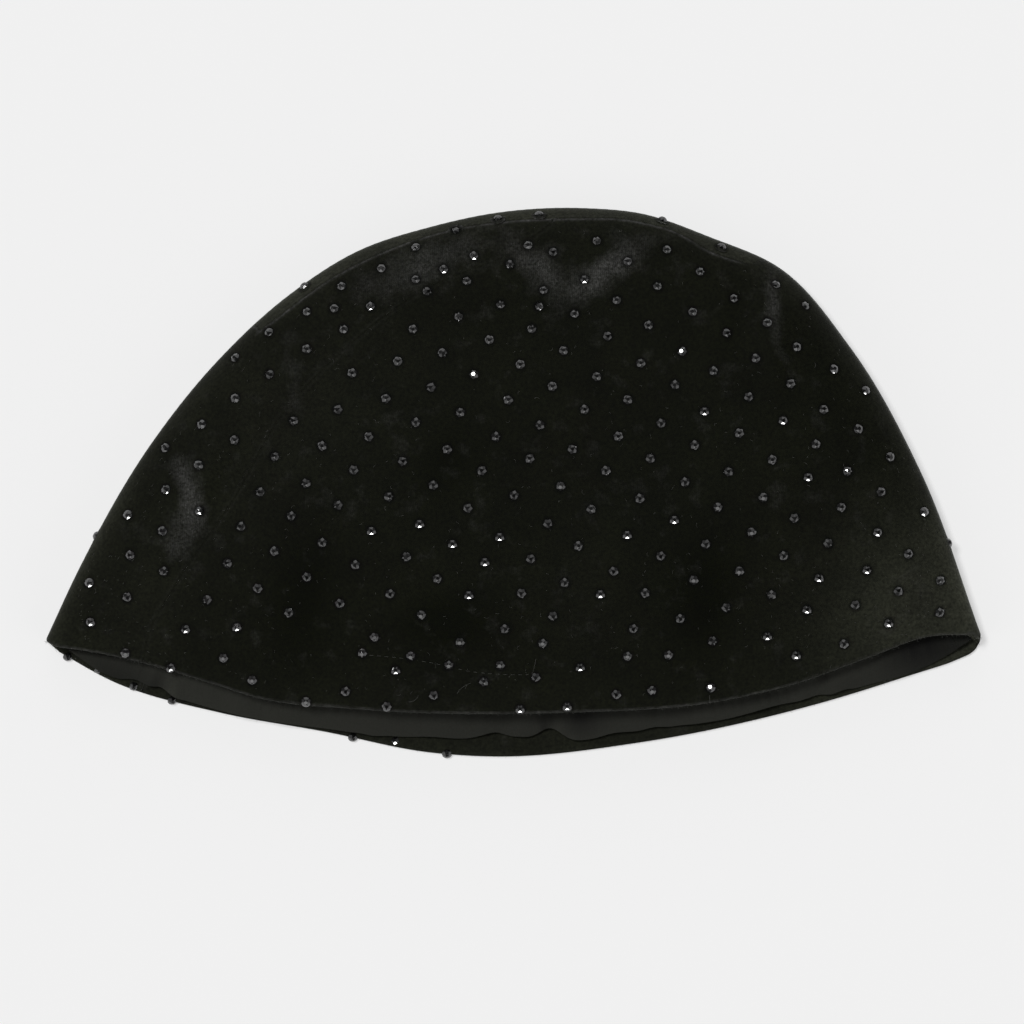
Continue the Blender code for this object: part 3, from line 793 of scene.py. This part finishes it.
def velvet_panel(name, outline, lines, ridge, band_sheen, material):
    """A closed panel of velvet: an outside and an inside that meet along its outline."""
    outer = mesh_points(outline, OUTER_ROWS, CELL, OUTER_ROW_GAP)
    under = mesh_points(outline, INNER_ROWS, INNER_CELL, INNER_ROW_GAP)
    top = np.vstack([outline, outer])
    places = surface(top)
    outside, _ = velvet_depths(places, lines, ridge)
    underside = np.exp(-((places[:, 2] / UNDERSIDE_LIFT) ** 2)) * (top[:, 1] < 0)
    outside = np.maximum(outside, UNDERSIDE_LIFT * underside)
    _, inner = velvet_depths(surface(under), lines)
    vertices = np.vstack([below(top, outside), below(under, inner)])
    under_faces = turned_under(triangulated(outline, under), outline, outer)
    piece = mesh_object(name, vertices, np.vstack([triangulated(outline, outer), under_faces]), material)

    crushed_sheen, rubbed_and_sheen, tone_and_painted_light = velvet_marks(top, lines, ridge)
    _, under_rubbed_and_sheen, under_tone_and_painted_light = velvet_marks(under, lines)
    add_attribute(piece, "crushed_sheen", np.concatenate([crushed_sheen, np.zeros(len(under))]))
    add_attribute(piece, "rubbed_and_sheen", np.concatenate([rubbed_and_sheen, INSIDE_RUB_SHEEN_SHARE * under_rubbed_and_sheen]))
    # Painted sheen on the back panel, and a lighter inside
    add_attribute(piece, "tone_and_painted_light", np.concatenate([tone_and_painted_light + band_sheen, under_tone_and_painted_light + FACING_TONE]))
    return piece


def lining_outline():
    """The lining's region: straight along the front, wavy along the back."""
    count = round(FOLD_LENGTH / BORDER_STEP)
    s = np.linspace(LINING_END_S, 1 - LINING_END_S, count)
    ones = np.ones(count)

    def share(side, distance):
        span = np.linalg.norm((outer_surface(s, side * ones) - outer_surface(s, 0 * ones))[:, :2], axis=1)
        return np.minimum(distance / (span + FOLD_SOFTNESS), LINING_EDGE_LIMIT)

    table = np.array(LINING_EDGE)
    x = outer_surface(s, -ones)[:, 0]
    distance = eased(table[:, 0], table[:, 1:], np.clip(x, table[0, 0], table[-1, 0]))[:, 0]
    fine, wander, swell = (x / step for step in RIPPLE_STEPS)
    ripple = LINING_RIPPLE * np.sin(fine + 2 * np.sin(wander)) * (1 + np.sin(swell))
    distance += ripple * np.clip(distance - RIPPLE_FROM, 0, 1)
    front = np.column_stack([s, 1 - share(1, LINING_FRONT_EDGE)])
    back = np.column_stack([s, -1 + share(-1, distance)])
    left = np.linspace(back[0], front[0], LINING_END_POINTS)[1:-1]
    right = np.linspace(front[-1], back[-1], LINING_END_POINTS)[1:-1]
    return np.vstack([front, right, back[::-1], left])


def lining_folds(points, places):
    """How far the lining stands off the velvet in its swell, gathers, creases and pleats."""
    x = places[:, 0]
    low = np.clip(-points[:, 1], 0, 1) ** 2
    behind = places[:, 1] - np.interp(x, *FRONT_CURVE.T)
    fine, wander = (x / step for step in GATHER_STEPS)
    rise = LINING_GATHER * np.sin(fine + GATHER_BEND * np.sin(wander))
    rise += LINING_SWELL * bump(behind, LINING_SWELL_PLACE, LINING_SWELL_WIDTH)
    for start, ease, turn, period, height in LINING_CREASES:
        across = places[:, :2] @ heading(turn)
        rise += height * np.sin(2 * math.pi * across / period) * past(x, start, ease)
    for at_x, at_y, slant, height, reach in LINING_PLEATS:
        beyond = x - at_x + slant * (places[:, 1] - at_y)
        rise += height * past(beyond, 0.0, PLEAT_EDGE) * np.exp(-np.clip(beyond, 0, None) / reach)
    return rise * low


def lining_piece(material, hem_line):
    """The knitted lining: a thin closed bag with a rolled edge."""
    outline = lining_outline()
    edge = surface(outline)
    outer = mesh_points(outline, LINING_ROWS, LINING_CELL, INNER_ROW_GAP)
    points = np.vstack([outline, outer])
    places = surface(points)
    fall = rounded(distances(edge, places), 0.5 * LINING_WALL)
    top = velvet_wall(distances(hem_line, places)) + LINING_GAP + lining_folds(points, places)
    far = below(points, top + fall)
    near = below(points, top + LINING_WALL - fall)
    faces = triangulated(outline, outer)
    faces = np.vstack([faces, turned_under(faces, outline, outer)])
    piece = mesh_object("lining_knit", np.vstack([far, near[len(outline):]]), faces, material)
    # Painted shade and highlight of the lining's hollows and pleats
    tone_and_painted_light = 1 + mounds(LINING_SHADE_AND_HIGHLIGHT, places[:, :2])
    add_attribute(piece, "tone_and_painted_light", np.concatenate([tone_and_painted_light, tone_and_painted_light[len(outline):]]))
    return piece


def grid_places(rule):
    """Plan places of a grid of stones."""
    origin, step, down, bend, twist = (
        np.array(rule[k]) for k in ("origin", "along", "down", "bend_along", "bend_across")
    )
    places = []
    for row in range(-GRID_REACH, GRID_REACH + 1):
        for column in range(-GRID_REACH, GRID_REACH + 1):
            c = column + rule["shift"] * row
            bent = max(c, rule["bend_from"]) - rule["bend_from"] if rule["bend_from"] else c
            places.append(origin + c * step + row * down + bent * bent * bend + c * row * twist)
    return np.array(places)


def photo_places(pixels):
    """Plan places of some pixels of the photograph."""
    offset = (np.array(pixels, float) - 0.5 * PHOTO_PIXELS) * (1, -1)
    return np.array(FRAME_CENTRE) + offset * FRAME_WIDTH / PHOTO_PIXELS


def nearest(places, spot):
    """Index of the place nearest to a spot, and its distance."""
    gaps = np.linalg.norm(places - spot, axis=1)
    found = int(np.argmin(gaps))
    return found, gaps[found]


def as_photographed(places, chance):
    """The grid's places, set a little unevenly, with the stones that stand out moved to where they show."""
    for spot in photo_places(MISSING_STONES):
        found, gap = nearest(places, spot)
        if gap < STONE_PULL:
            places = np.delete(places, found, axis=0)
    corners = photo_places(UNEVEN_STONES)
    uneven = (places > corners.min(axis=0)) & (places < corners.max(axis=0))
    places = places[~uneven.all(axis=1)]
    drift = np.array([[chance.gauss(0, STONE_DRIFT), chance.gauss(0, STONE_DRIFT)] for _ in places])
    places = places + np.clip(drift, -STONE_DRIFT_LIMIT, STONE_DRIFT_LIMIT)
    for spot in photo_places(FACET_GLINTS + TABLE_GLINTS):
        found, gap = nearest(places, spot)
        if gap < STONE_PULL:
            places[found] = spot
    return places


def stones_in(outline, places, side, clearance):
    """Coordinates of the stones that lie in a region of the upper or the lower sheet, clear of its edge."""
    reach = np.abs(FOLD_CURVE).max(axis=0)
    places = places[(np.abs(places) < reach).all(axis=1)]
    points = at_plan(places, side)
    found = np.linalg.norm(surface(points)[:, :2] - places, axis=1) < STONE_MISS
    return clear_inside(outline, points[found], clearance)


def stone_shape():
    """Points and facets of a round flat-back stone. Its first large facet faces +X."""
    def circle(radius, height, phase):
        angles = 2 * math.pi * (np.arange(STONE_SIDES) + phase) / STONE_SIDES
        level = np.full(STONE_SIDES, height)
        return np.column_stack([radius * np.cos(angles), radius * np.sin(angles), level])

    points = np.vstack([
        circle(STONE_TABLE_RADIUS, STONE_HEIGHT, 0.0),
        circle(STONE_SHOULDER_RADIUS, STONE_SHOULDER, -0.5),
        circle(STONE_RADIUS, STONE_GIRDLE_HIGH, -0.5),
        circle(STONE_RADIUS, STONE_GIRDLE_HIGH, 0.0),
        circle(STONE_RADIUS, STONE_GIRDLE_LOW, -0.5),
        circle(STONE_RADIUS, STONE_GIRDLE_LOW, 0.0),
        circle(STONE_BACK_RADIUS, 0.0, -0.5),
    ])
    table, shoulder, girdle, girdle_mid, foot, foot_mid, back = (
        range(k * STONE_SIDES, (k + 1) * STONE_SIDES) for k in range(7)
    )
    facets = [tuple(table), tuple(reversed(back))]
    for k in range(STONE_SIDES):
        after = (k + 1) % STONE_SIDES
        facets.append((table[k], shoulder[k], shoulder[after]))
        facets.append((table[k], shoulder[after], table[after]))
        facets.append((shoulder[k], girdle[k], girdle_mid[k]))
        facets.append((shoulder[k], girdle_mid[k], shoulder[after]))
        facets.append((shoulder[after], girdle_mid[k], girdle[after]))
        facets.append((girdle[k], foot[k], foot_mid[k], girdle_mid[k]))
        facets.append((girdle_mid[k], foot_mid[k], foot[after], girdle[after]))
        facets.append((foot[k], back[k], back[after], foot[after], foot_mid[k]))
    return points, facets


def light_way(light):
    """Unit vector towards a light."""
    azimuth, elevation = (math.radians(angle) for angle in light[:2])
    level = math.cos(elevation)
    return np.array([level * math.cos(azimuth), level * math.sin(azimuth), math.sin(elevation)])


def mirror_way(light):
    """The way that a facet faces to send a light straight up to the camera."""
    way = light_way(light) + (0.0, 0.0, 1.0)
    return way / np.linalg.norm(way)


def at_angle(axis, toward, angle):
    """The direction at an angle from an axis, on the way to another direction."""
    side = toward - axis * (toward @ axis)
    return math.cos(angle) * axis + math.sin(angle) * side / np.linalg.norm(side)


def stone_frame(place, normal, glints, chance):
    """A stone's axes. A stone on a list has a facet or its table towards the light, and the others have not."""
    large_facet = math.atan2(
        STONE_HEIGHT - STONE_SHOULDER,
        STONE_SHOULDER_RADIUS * math.cos(math.pi / STONE_SIDES) - STONE_TABLE_RADIUS,
    )
    facet_spots, table_spots = glints
    key = mirror_way(KEY_LIGHT)
    front = mirror_way(GLINT_LIGHT)
    lean = math.radians(chance.gauss(0, STONE_LEAN))
    way = chance.uniform(0, 2 * math.pi)
    spin = math.pi / STONE_SIDES * chance.choice((-0.5, 0.5)) + math.radians(chance.gauss(0, STONE_SPIN))
    if nearest(table_spots, place[:2])[1] < GLINT_REACH:
        up = key
    elif nearest(facet_spots, place[:2])[1] < GLINT_REACH:
        up = at_angle(front, normal, large_facet)
        spin = 0.0
    else:
        up = normal + math.tan(lean) * np.array([math.cos(way), math.sin(way), 0.0])
        up /= np.linalg.norm(up)
        if up @ key > math.cos(math.radians(KEY_CLEARANCE)):
            up = at_angle(key, up, math.radians(KEY_CLEARANCE))
    ahead = at_angle(up, front, math.pi / 2)
    ahead = math.cos(spin) * ahead + math.sin(spin) * np.cross(up, ahead)
    return np.stack([ahead, np.cross(up, ahead), up])


def stone_field(name, places, normals, sinks, material, seed):
    """Stones set into the cloth as one piece."""
    shape, facets = stone_shape()
    chance = random.Random(seed)
    glints = photo_places(FACET_GLINTS), photo_places(TABLE_GLINTS)
    vertices = []
    faces = []
    for place, normal, sink in zip(places, normals, sinks):
        start = len(vertices) * len(shape)
        vertices.append(shape @ stone_frame(place, normal, glints, chance) + place - normal * sink)
        faces += [tuple(start + i for i in facet) for facet in facets]
    added_piece(name, np.vstack(vertices), faces, material)


def shaded_pressed_rings(name, points, lines, material):
    """The pile pressed flat round each stone: a thin ring of velvet, darkened inwards with painted shade."""
    with_s, _, normals = directions(*points.T)
    side = unit(with_s)
    other = np.cross(normals, side)
    rows = ((RING_INNER, -RING_LIFT), (RING_OUTER, -RING_LIFT), (0.5 * (RING_INNER + RING_OUTER), RING_DEPTH))
    vertices = []
    marks = []
    for radius, sunk in rows:
        for angle in 2 * math.pi * np.arange(RING_SIDES) / RING_SIDES:
            vector = radius * (math.cos(angle) * side + math.sin(angle) * other)
            ring = np.clip(points + surface_step(points, vector), 0.0, 1.0)
            vertices.append(below(ring, velvet_depths(surface(ring), lines)[0] + sunk))
            # The inner edge of each ring is darkened with painted shade
            pressed_and_shade = np.full(len(ring), radius == RING_INNER)
            marks.append(np.column_stack([*velvet_marks(ring, lines), pressed_and_shade]))
    vertices = np.stack(vertices, axis=1).reshape(-1, 3)
    marks = np.stack(marks, axis=1).reshape(-1, 4)
    faces = []
    for stone in range(len(points)):
        for row in range(3):
            first = (3 * stone + row) * RING_SIDES
            second = (3 * stone + (row + 1) % 3) * RING_SIDES
            for k in range(RING_SIDES):
                after = (k + 1) % RING_SIDES
                faces.append((first + k, second + k, second + after, first + after))
    piece = added_piece(name, vertices, faces, material)
    for column, mark in enumerate(("crushed_sheen", "rubbed_and_sheen", "tone_and_painted_light", "pressed_and_shade")):
        add_attribute(piece, mark, marks[:, column])


def fibre(path, radius):
    """Points and faces of a thin three-sided fibre along a path."""
    vertices = []
    faces = []
    for k, point in enumerate(path):
        ahead = path[min(k + 1, len(path) - 1)] - path[max(k - 1, 0)]
        across = np.cross(ahead, (0.0, 0.0, 1.0))
        across /= np.linalg.norm(across)
        above = np.cross(across, ahead)
        above /= np.linalg.norm(above)
        for turn in (0, 1, 2):
            angle = 2 * math.pi * turn / 3
            vertices.append(point + radius * (math.cos(angle) * across + math.sin(angle) * above))
    for k in range(len(path) - 1):
        for turn in (0, 1, 2):
            after = (turn + 1) % 3
            faces.append((3 * k + turn, 3 * k + after, 3 * k + 3 + after, 3 * k + 3 + turn))
    last = 3 * (len(path) - 1)
    faces.append((2, 1, 0))
    faces.append((last, last + 1, last + 2))
    return vertices, faces


def fibres(name, paths, radius, material):
    """Loose fibres that lie on the cloth, as one piece."""
    vertices = []
    faces = []
    for path in paths:
        points, sides = fibre(path, radius)
        faces += [tuple(len(vertices) + i for i in side) for side in sides]
        vertices += points
    added_piece(name, np.array(vertices), faces, material, smooth=True)


def lint_paths():
    """Short curled fibres scattered over the upper sheet."""
    chance = random.Random(LINT_SEED)
    paths = []
    for _ in range(LINT_COUNT):
        start = np.array([chance.uniform(*LINT_S), chance.uniform(*LINT_T)])
        length = chance.uniform(*LINT_LENGTH) * chance.uniform(*LINT_SHORTENED)
        first_turn = chance.uniform(0, 2 * math.pi)
        curl = chance.gauss(0, LINT_CURL)
        turns = first_turn + curl * np.arange(LINT_POINTS)
        steps = np.column_stack([np.cos(turns), np.sin(turns)]) * length / LINT_POINTS
        plan = np.cumsum(steps, axis=0) / (FOLD_LENGTH, RIB_LENGTH)
        paths.append(below(np.clip(start + plan, 0.01, 0.99), -LINT_LIFT))
    return paths


def fringe_paths(points, seed):
    """Short pile that stands off an edge of the cloth, given as coordinates."""
    chance = random.Random(seed)
    length = running_length(surface(points))
    at = np.arange(0.0, length[-1], FRINGE_STEP)
    points = read_rows(length, points, at)
    spots = surface(points)
    _, with_t, normals = directions(*points.T)
    outward = unit(with_t * np.where(points[:, 1:] > 0, 1, -1))
    paths = []
    for spot, out, normal in zip(spots, outward, normals):
        along_edge = np.cross(out, normal) * chance.gauss(0, FRINGE_SIDEWAYS)
        way = out * chance.uniform(*FRINGE_OUTWARD) + normal * chance.uniform(*FRINGE_UPWARD) + along_edge
        way *= chance.uniform(*FRINGE_LENGTH) / np.linalg.norm(way)
        root = spot - FRINGE_ROOT_DEPTH * normal + chance.uniform(-FRINGE_ROOT_SPREAD, 0.0) * out
        hair = np.array([root, root + FRINGE_MIDDLE * way, root + way + FRINGE_BEND * along_edge])
        hair[:, 2] = np.maximum(hair[:, 2], 2 * FRINGE_RADIUS)
        paths.append(hair)
    return paths


def thread_paths():
    """The stitches in a line above the front hem, and the loose threads that lie near it."""
    line = smooth_curve(photo_places(STITCHES), STITCH_POINTS)
    paths = [below(at_plan(line[k:k + 2], 1), 0.0) for k in range(0, STITCH_POINTS - 1, 2)]
    for x, y, turn, length, curl in THREADS:
        turns = np.radians(turn + curl * np.linspace(0, 1, THREAD_POINTS))
        steps = np.column_stack([np.cos(turns), np.sin(turns)]) * length / THREAD_POINTS
        plan = photo_places([(x, y)]) + np.cumsum(steps, axis=0)
        paths.append(below(at_plan(plan, 1), -THREAD_RADIUS))
    return paths


def rim_stones(material):
    """Stones of the back panel that show beyond the front hem, leaning outwards on its rolled edge."""
    points = at_plan(photo_places(RIM_STONES), -1)
    _, with_t, _ = directions(*points.T)
    normals = unit(RIM_STONE_OUTWARD * unit(-with_t) + (0.0, 0.0, 1.0))
    places = surface(points) + (0.0, 0.0, RIM_STONE_RISE)
    stone_field("rim_stones", places, normals, np.full(len(places), STONE_SINK), material, RIM_SEED)


def fill(tree, socket, value):
    """Set an input, or link it where the value is another node's output."""
    if isinstance(value, bpy.types.NodeSocket):
        tree.links.new(value, socket)
    else:
        socket.default_value = value


def set_up(tree, made, **values):
    """Set a node's properties and fill its inputs by name."""
    for key, value in values.items():
        if hasattr(made, key):
            setattr(made, key, value)
        else:
            fill(tree, made.inputs[key.replace("_", " ")], value)


def node(tree, kind, *inputs, **values):
    """A node set up by name, with its first inputs filled in their order."""
    made = tree.nodes.new("ShaderNode" + kind)
    set_up(tree, made, **values)
    for socket, value in zip(made.inputs, inputs):
        fill(tree, socket, value)
    return made


def computed(tree, operation, *inputs):
    """A number worked out from others."""
    return node(tree, "Math", *inputs, operation=operation).outputs[0]


def ranged(tree, value, low, high, new_low, new_high):
    """A number whose range becomes another range, which it never leaves."""
    return node(tree, "MapRange", value, low, high, new_low, new_high).outputs[0]


def texture(tree, kind, **values):
    """The strength of a procedural texture at the object's own coordinates."""
    place = node(tree, "TexCoord").outputs["Object"]
    return node(tree, kind, Vector=place, **values).outputs["Fac"]


def attribute(tree, name):
    """A number that the mesh holds for each vertex."""
    return node(tree, "Attribute", attribute_name=name).outputs["Fac"]


def blend(tree, share, first, second, clamp=True):
    """A colour between two others, or past the second one where the share may be larger than 1."""
    mix = node(tree, "Mix", data_type="RGBA", clamp_factor=clamp, Factor=share, A=first, B=second)
    return mix.outputs["Result"]


def scaled(tree, colour, share):
    """A colour made lighter or darker."""
    return node(tree, "VectorMath", colour, operation="SCALE", Scale=share).outputs[0]


def relief(tree, height, strength):
    """The normal of a finely uneven surface."""
    return node(tree, "Bump", Strength=strength, Distance=RELIEF_HEIGHT * MM, Height=height).outputs["Normal"]


def new_material(name, **values):
    """A node material with its shader set up, and its tree and shader."""
    material = bpy.data.materials.new(name)
    material.use_nodes = True
    tree = material.node_tree
    shader = tree.nodes["Principled BSDF"]
    set_up(tree, shader, **values)
    return material, tree, shader


def velvet_material():
    """Black pile with painted sheen and shade in its tone, painted shade where pressed, painted sheen where
    crushed or rubbed.
    """
    material, tree, shader = new_material(
        "black_velvet",
        Roughness=0.75,
        Specular_IOR_Level=0.06,
        Sheen_Weight=0.3,
        Sheen_Roughness=0.25,
        Sheen_Tint=(0.62, 0.64, 0.6, 1.0),
    )

    def noise(scale, low, high):
        """A noise whose middle range becomes low to high."""
        pattern = texture(tree, "TexNoise", Scale=scale, Detail=3.0, Roughness=0.6)
        return ranged(tree, pattern, 0.3, 0.7, low, high)

    def product(first, second):
        """Two numbers multiplied."""
        return computed(tree, "MULTIPLY", first, second)

    ribs = texture(tree, "TexWave", Scale=520.0, Distortion=5.0, Detail=2.0)
    # Painted sheen of the crushed and rubbed pile, which lifts the colour towards a pale shine
    patches = computed(tree, "ADD", attribute(tree, "crushed_sheen"), noise(150.0, -0.2, 0.25))
    shine = product(ranged(tree, patches, 0.1, 1.2, 0.0, 1.0), ranged(tree, ribs, 0.0, 1.0, 0.75, 1.15))
    shine = product(shine, noise(1300.0, 0.3, 1.8))
    rub_and_sheen = product(attribute(tree, "rubbed_and_sheen"), noise(500.0, 0.1, 1.1))
    painted_sheen = computed(tree, "MAXIMUM", shine, rub_and_sheen)

    # The velvet's colour grows with the painted sheen and shade of its tone
    tone_and_painted_light = attribute(tree, "tone_and_painted_light")
    nap_with_painted_light = node(tree, "VectorMath", tone_and_painted_light, NAP_PER_TONE_AND_LIGHT, NAP_COLOUR, operation="MULTIPLY_ADD").outputs[0]
    mottle_and_shade = product(noise(1100.0, 0.55, 1.45), noise(60.0, 0.75, 1.25))
    # Painted shade round the stones, where the pile is pressed
    mottle_and_shade = product(mottle_and_shade, ranged(tree, attribute(tree, "pressed_and_shade"), 0.0, 1.0, 1.0, 0.15))
    colour = scaled(tree, blend(tree, painted_sheen, nap_with_painted_light, PAINTED_SHEEN_COLOUR, clamp=False), mottle_and_shade)
    pile = texture(tree, "TexNoise", Scale=2600.0, Detail=3.0, Roughness=0.6)
    set_up(tree, shader, Base_Color=colour, Normal=relief(tree, pile, 0.35))
    return material


def knit_material():
    """Dark grey matt knit with fine ribs and loops, and painted shade and highlight."""
    material, tree, shader = new_material(
        "grey_knit",
        Roughness=0.9,
        Specular_IOR_Level=0.15,
        Sheen_Weight=0.05,
        Sheen_Roughness=0.5,
    )
    ribs = texture(tree, "TexWave", Scale=420.0, Distortion=2.0, Detail=2.0)
    loops = texture(tree, "TexNoise", Scale=1500.0, Detail=2.0)
    colour = blend(tree, loops, (0.014, 0.0145, 0.0115, 1.0), (0.021, 0.0215, 0.0175, 1.0))
    # Painted shade and highlight on the lining
    colour = scaled(tree, colour, attribute(tree, "tone_and_painted_light"))
    height = computed(tree, "ADD", ribs, loops)
    set_up(tree, shader, Base_Color=colour, Normal=relief(tree, height, 0.12))
    return material


def stone_material():
    """Polished jet glass with a thin uneven film on it."""
    material, tree, shader = new_material("jet_stone", Base_Color=(0.003, 0.003, 0.003, 1.0), IOR=1.95)
    film = texture(tree, "TexNoise", Scale=900.0, Detail=2.0)
    set_up(tree, shader, Roughness=ranged(tree, film, 0.3, 0.7, 0.03, 0.09))
    return material


def lint_material():
    """Pale fibres, some darker than others."""
    material, tree, shader = new_material("pale_lint", Roughness=0.9)
    shade = texture(tree, "TexNoise", Scale=40.0)
    set_up(tree, shader, Base_Color=blend(tree, shade, (0.015, 0.015, 0.014, 1.0), (0.11, 0.11, 0.1, 1.0)))
    return material


def floor_material():
    """A pale floor that glows a little, as a lit backdrop does, so that shadows on it stay faint."""
    material, _, _ = new_material(
        "pale_floor",
        Base_Color=(0.4, 0.4, 0.4, 1.0),
        Roughness=1.0,
        Specular_IOR_Level=0.0,
        Emission_Color=(1.0, 1.0, 1.0, 1.0),
        Emission_Strength=0.535,
    )
    return material


def sun(name, row, cap_only=False):
    """A distant soft light."""
    _, _, strength, size = row
    light = bpy.data.lights.new(name, "SUN")
    light.energy = strength
    light.angle = math.radians(size)
    lamp = bpy.data.objects.new(name, light)
    way = Vector(light_way(row))
    lamp.rotation_euler = way.to_track_quat("Z", "Y").to_euler()
    lamp.location = way
    if cap_only:
        lamp.light_linking.receiver_collection = cap_collection()
    bpy.context.scene.collection.objects.link(lamp)


def window_light(world):
    """Three wide low windows round the cap, at the back and at both sides of the front, dim overhead."""
    world.use_nodes = True
    tree = world.node_tree
    x, y, z = node(tree, "SeparateXYZ", node(tree, "TexCoord").outputs["Generated"]).outputs
    azimuth = computed(tree, "ARCTAN2", y, x)
    wave = computed(tree, "COSINE", computed(tree, "MULTIPLY_ADD", azimuth, 3.0, math.radians(90)))
    around = ranged(tree, wave, -1.0, 1.0, WINDOW_DARK_SHARE * WINDOW_LIGHT, WINDOW_LIGHT)
    upward = ranged(tree, z, OVERHEAD_TO, OVERHEAD_FROM, OVERHEAD_SHARE, 1.0)
    strength = computed(tree, "MULTIPLY", around, upward)
    set_up(tree, tree.nodes["Background"], Color=(1.0, 1.0, 1.0, 1.0), Strength=strength)


def studio():
    """Pale floor, soft light and the camera."""
    bpy.ops.mesh.primitive_plane_add(size=FLOOR_SIZE)
    floor = bpy.context.object
    floor.name = "floor"
    floor.data.materials.append(floor_material())

    scene = bpy.context.scene
    scene.world = bpy.data.worlds.new("studio")
    window_light(scene.world)
    sun("key", KEY_LIGHT)
    sun("fill_front", FRONT_FILL, cap_only=True)
    sun("glint_front", GLINT_LIGHT, cap_only=True)

    camera_data = bpy.data.cameras.new("camera")
    camera = bpy.data.objects.new("camera", camera_data)
    scene.collection.objects.link(camera)
    camera_data.lens = CAMERA_LENS
    camera_data.sensor_width = CAMERA_SENSOR
    distance = FRAME_WIDTH * CAMERA_LENS / CAMERA_SENSOR
    camera.location = Vector((*FRAME_CENTRE, CAMERA_FOCUS_HEIGHT + distance)) * MM
    scene.camera = camera
    scene.view_settings.view_transform = "Standard"


def velvet_panels(outlines, lines, velvet):
    """The panels. The back panel gets a painted sheen, and the crown seam's ridge stays low on it."""
    for name, outline in outlines.items():
        # The back panel gets a painted sheen
        ridge, band_sheen = (BACK_RIDGE_SHARE, BAND_SHEEN) if name == "back_panel" else (1.0, 0.0)
        panel = velvet_panel(name + "_velvet", outline, lines, ridge, band_sheen, velvet)
        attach(panel, "root")
        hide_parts(name)


def stones(outlines, lines, velvet):
    """All the stones, and the pile pressed flat round those on the upper sheet, darkened with painted shade."""
    jet = stone_material()
    chance = random.Random(DRIFT_SEED)
    for seed, (name, panel, rule, side) in enumerate(STONE_FIELDS):
        points = np.empty((0, 2))
        if rule:
            places = grid_places(rule)
            if side > 0:
                places = as_photographed(places, chance)
            points = stones_in(outlines[panel], places, side, STONE_TO_BORDER)
        if side > 0:
            found = surface(points)[:, :2]
            extra = photo_places(EXTRA_STONES)
            extra = [spot for spot in extra if not len(found) or nearest(found, spot)[1] > STONE_APART]
            points = np.vstack([points, stones_in(outlines[panel], np.array(extra), side, 0.0)])
        places = surface(points)
        normals = directions(*points.T)[2]
        if side < 0:
            sinks = np.full(len(points), STONE_UNDER_SINK)
        elif rule:
            near_crown = past(places[:, 1], CROWN_STONE_FROM_Y, CROWN_STONE_EASE)
            sinks = STONE_SINK + CROWN_STONE_SINK * near_crown
        else:
            sinks = np.full(len(points), BAND_STONE_SINK)
            normals = unit(normals + (0.0, 0.0, BAND_STONE_UPWARD))
        stone_field(name, places, normals, sinks, jet, seed)
        if side > 0:
            shaded_pressed_rings(name.replace("stones", "pressed_pile_and_shade"), points, lines, velvet)
    rim_stones(jet)


def loose_fibres(edges):
    """The lint, the pile that stands off the cloth's edges, and the threads."""
    lint = lint_material()
    fringe = [path for seed, edge in enumerate(edges) for path in fringe_paths(edge, seed)]
    fibres("lint", lint_paths(), LINT_RADIUS, lint)
    fibres("edge_pile", fringe, FRINGE_RADIUS, lint)
    fibres("threads", thread_paths(), THREAD_RADIUS, lint)


def build_cap():
    """The cap's pieces, worked out from its seams and hems."""
    side_seam, left_seam, right_seam = seams()
    side_end, left_end, right_end = (path[-1][0] for path in (side_seam, left_seam, right_seam))
    left_hem = [hem_run(side_end, 0.0, 1.0), corner_turn(0.0, 1.0, -1.0), hem_run(0.0, left_end, -1.0)]
    right_hem = [hem_run(right_end, 1.0, -1.0), corner_turn(1.0, -1.0, 1.0), hem_run(1.0, side_end, 1.0)]
    back_hem = [hem_run(left_end, right_end, -1.0)]
    hems = [*left_hem, *back_hem, *right_hem]
    outlines = {
        "front_panel": np.vstack([*right_hem, side_seam[::-1], right_seam[1:-1]]),
        "side_panel": np.vstack([*left_hem, left_seam[::-1], side_seam[1:-1]]),
        "back_panel": np.vstack([*back_hem, right_seam[::-1], left_seam[1:-1]]),
    }
    parts = (np.vstack(hems), side_seam, np.vstack([left_seam, right_seam]))
    lines = [surface(part) for part in parts]

    velvet = velvet_material()
    velvet_panels(outlines, lines, velvet)
    stones(outlines, lines, velvet)
    loose_fibres([*hems, left_seam, right_seam])
    lining = lining_piece(knit_material(), lines[0])
    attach(lining, "root")
    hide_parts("lining")


def main():
    """The whole scene."""
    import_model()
    studio()
    build_cap()


main()
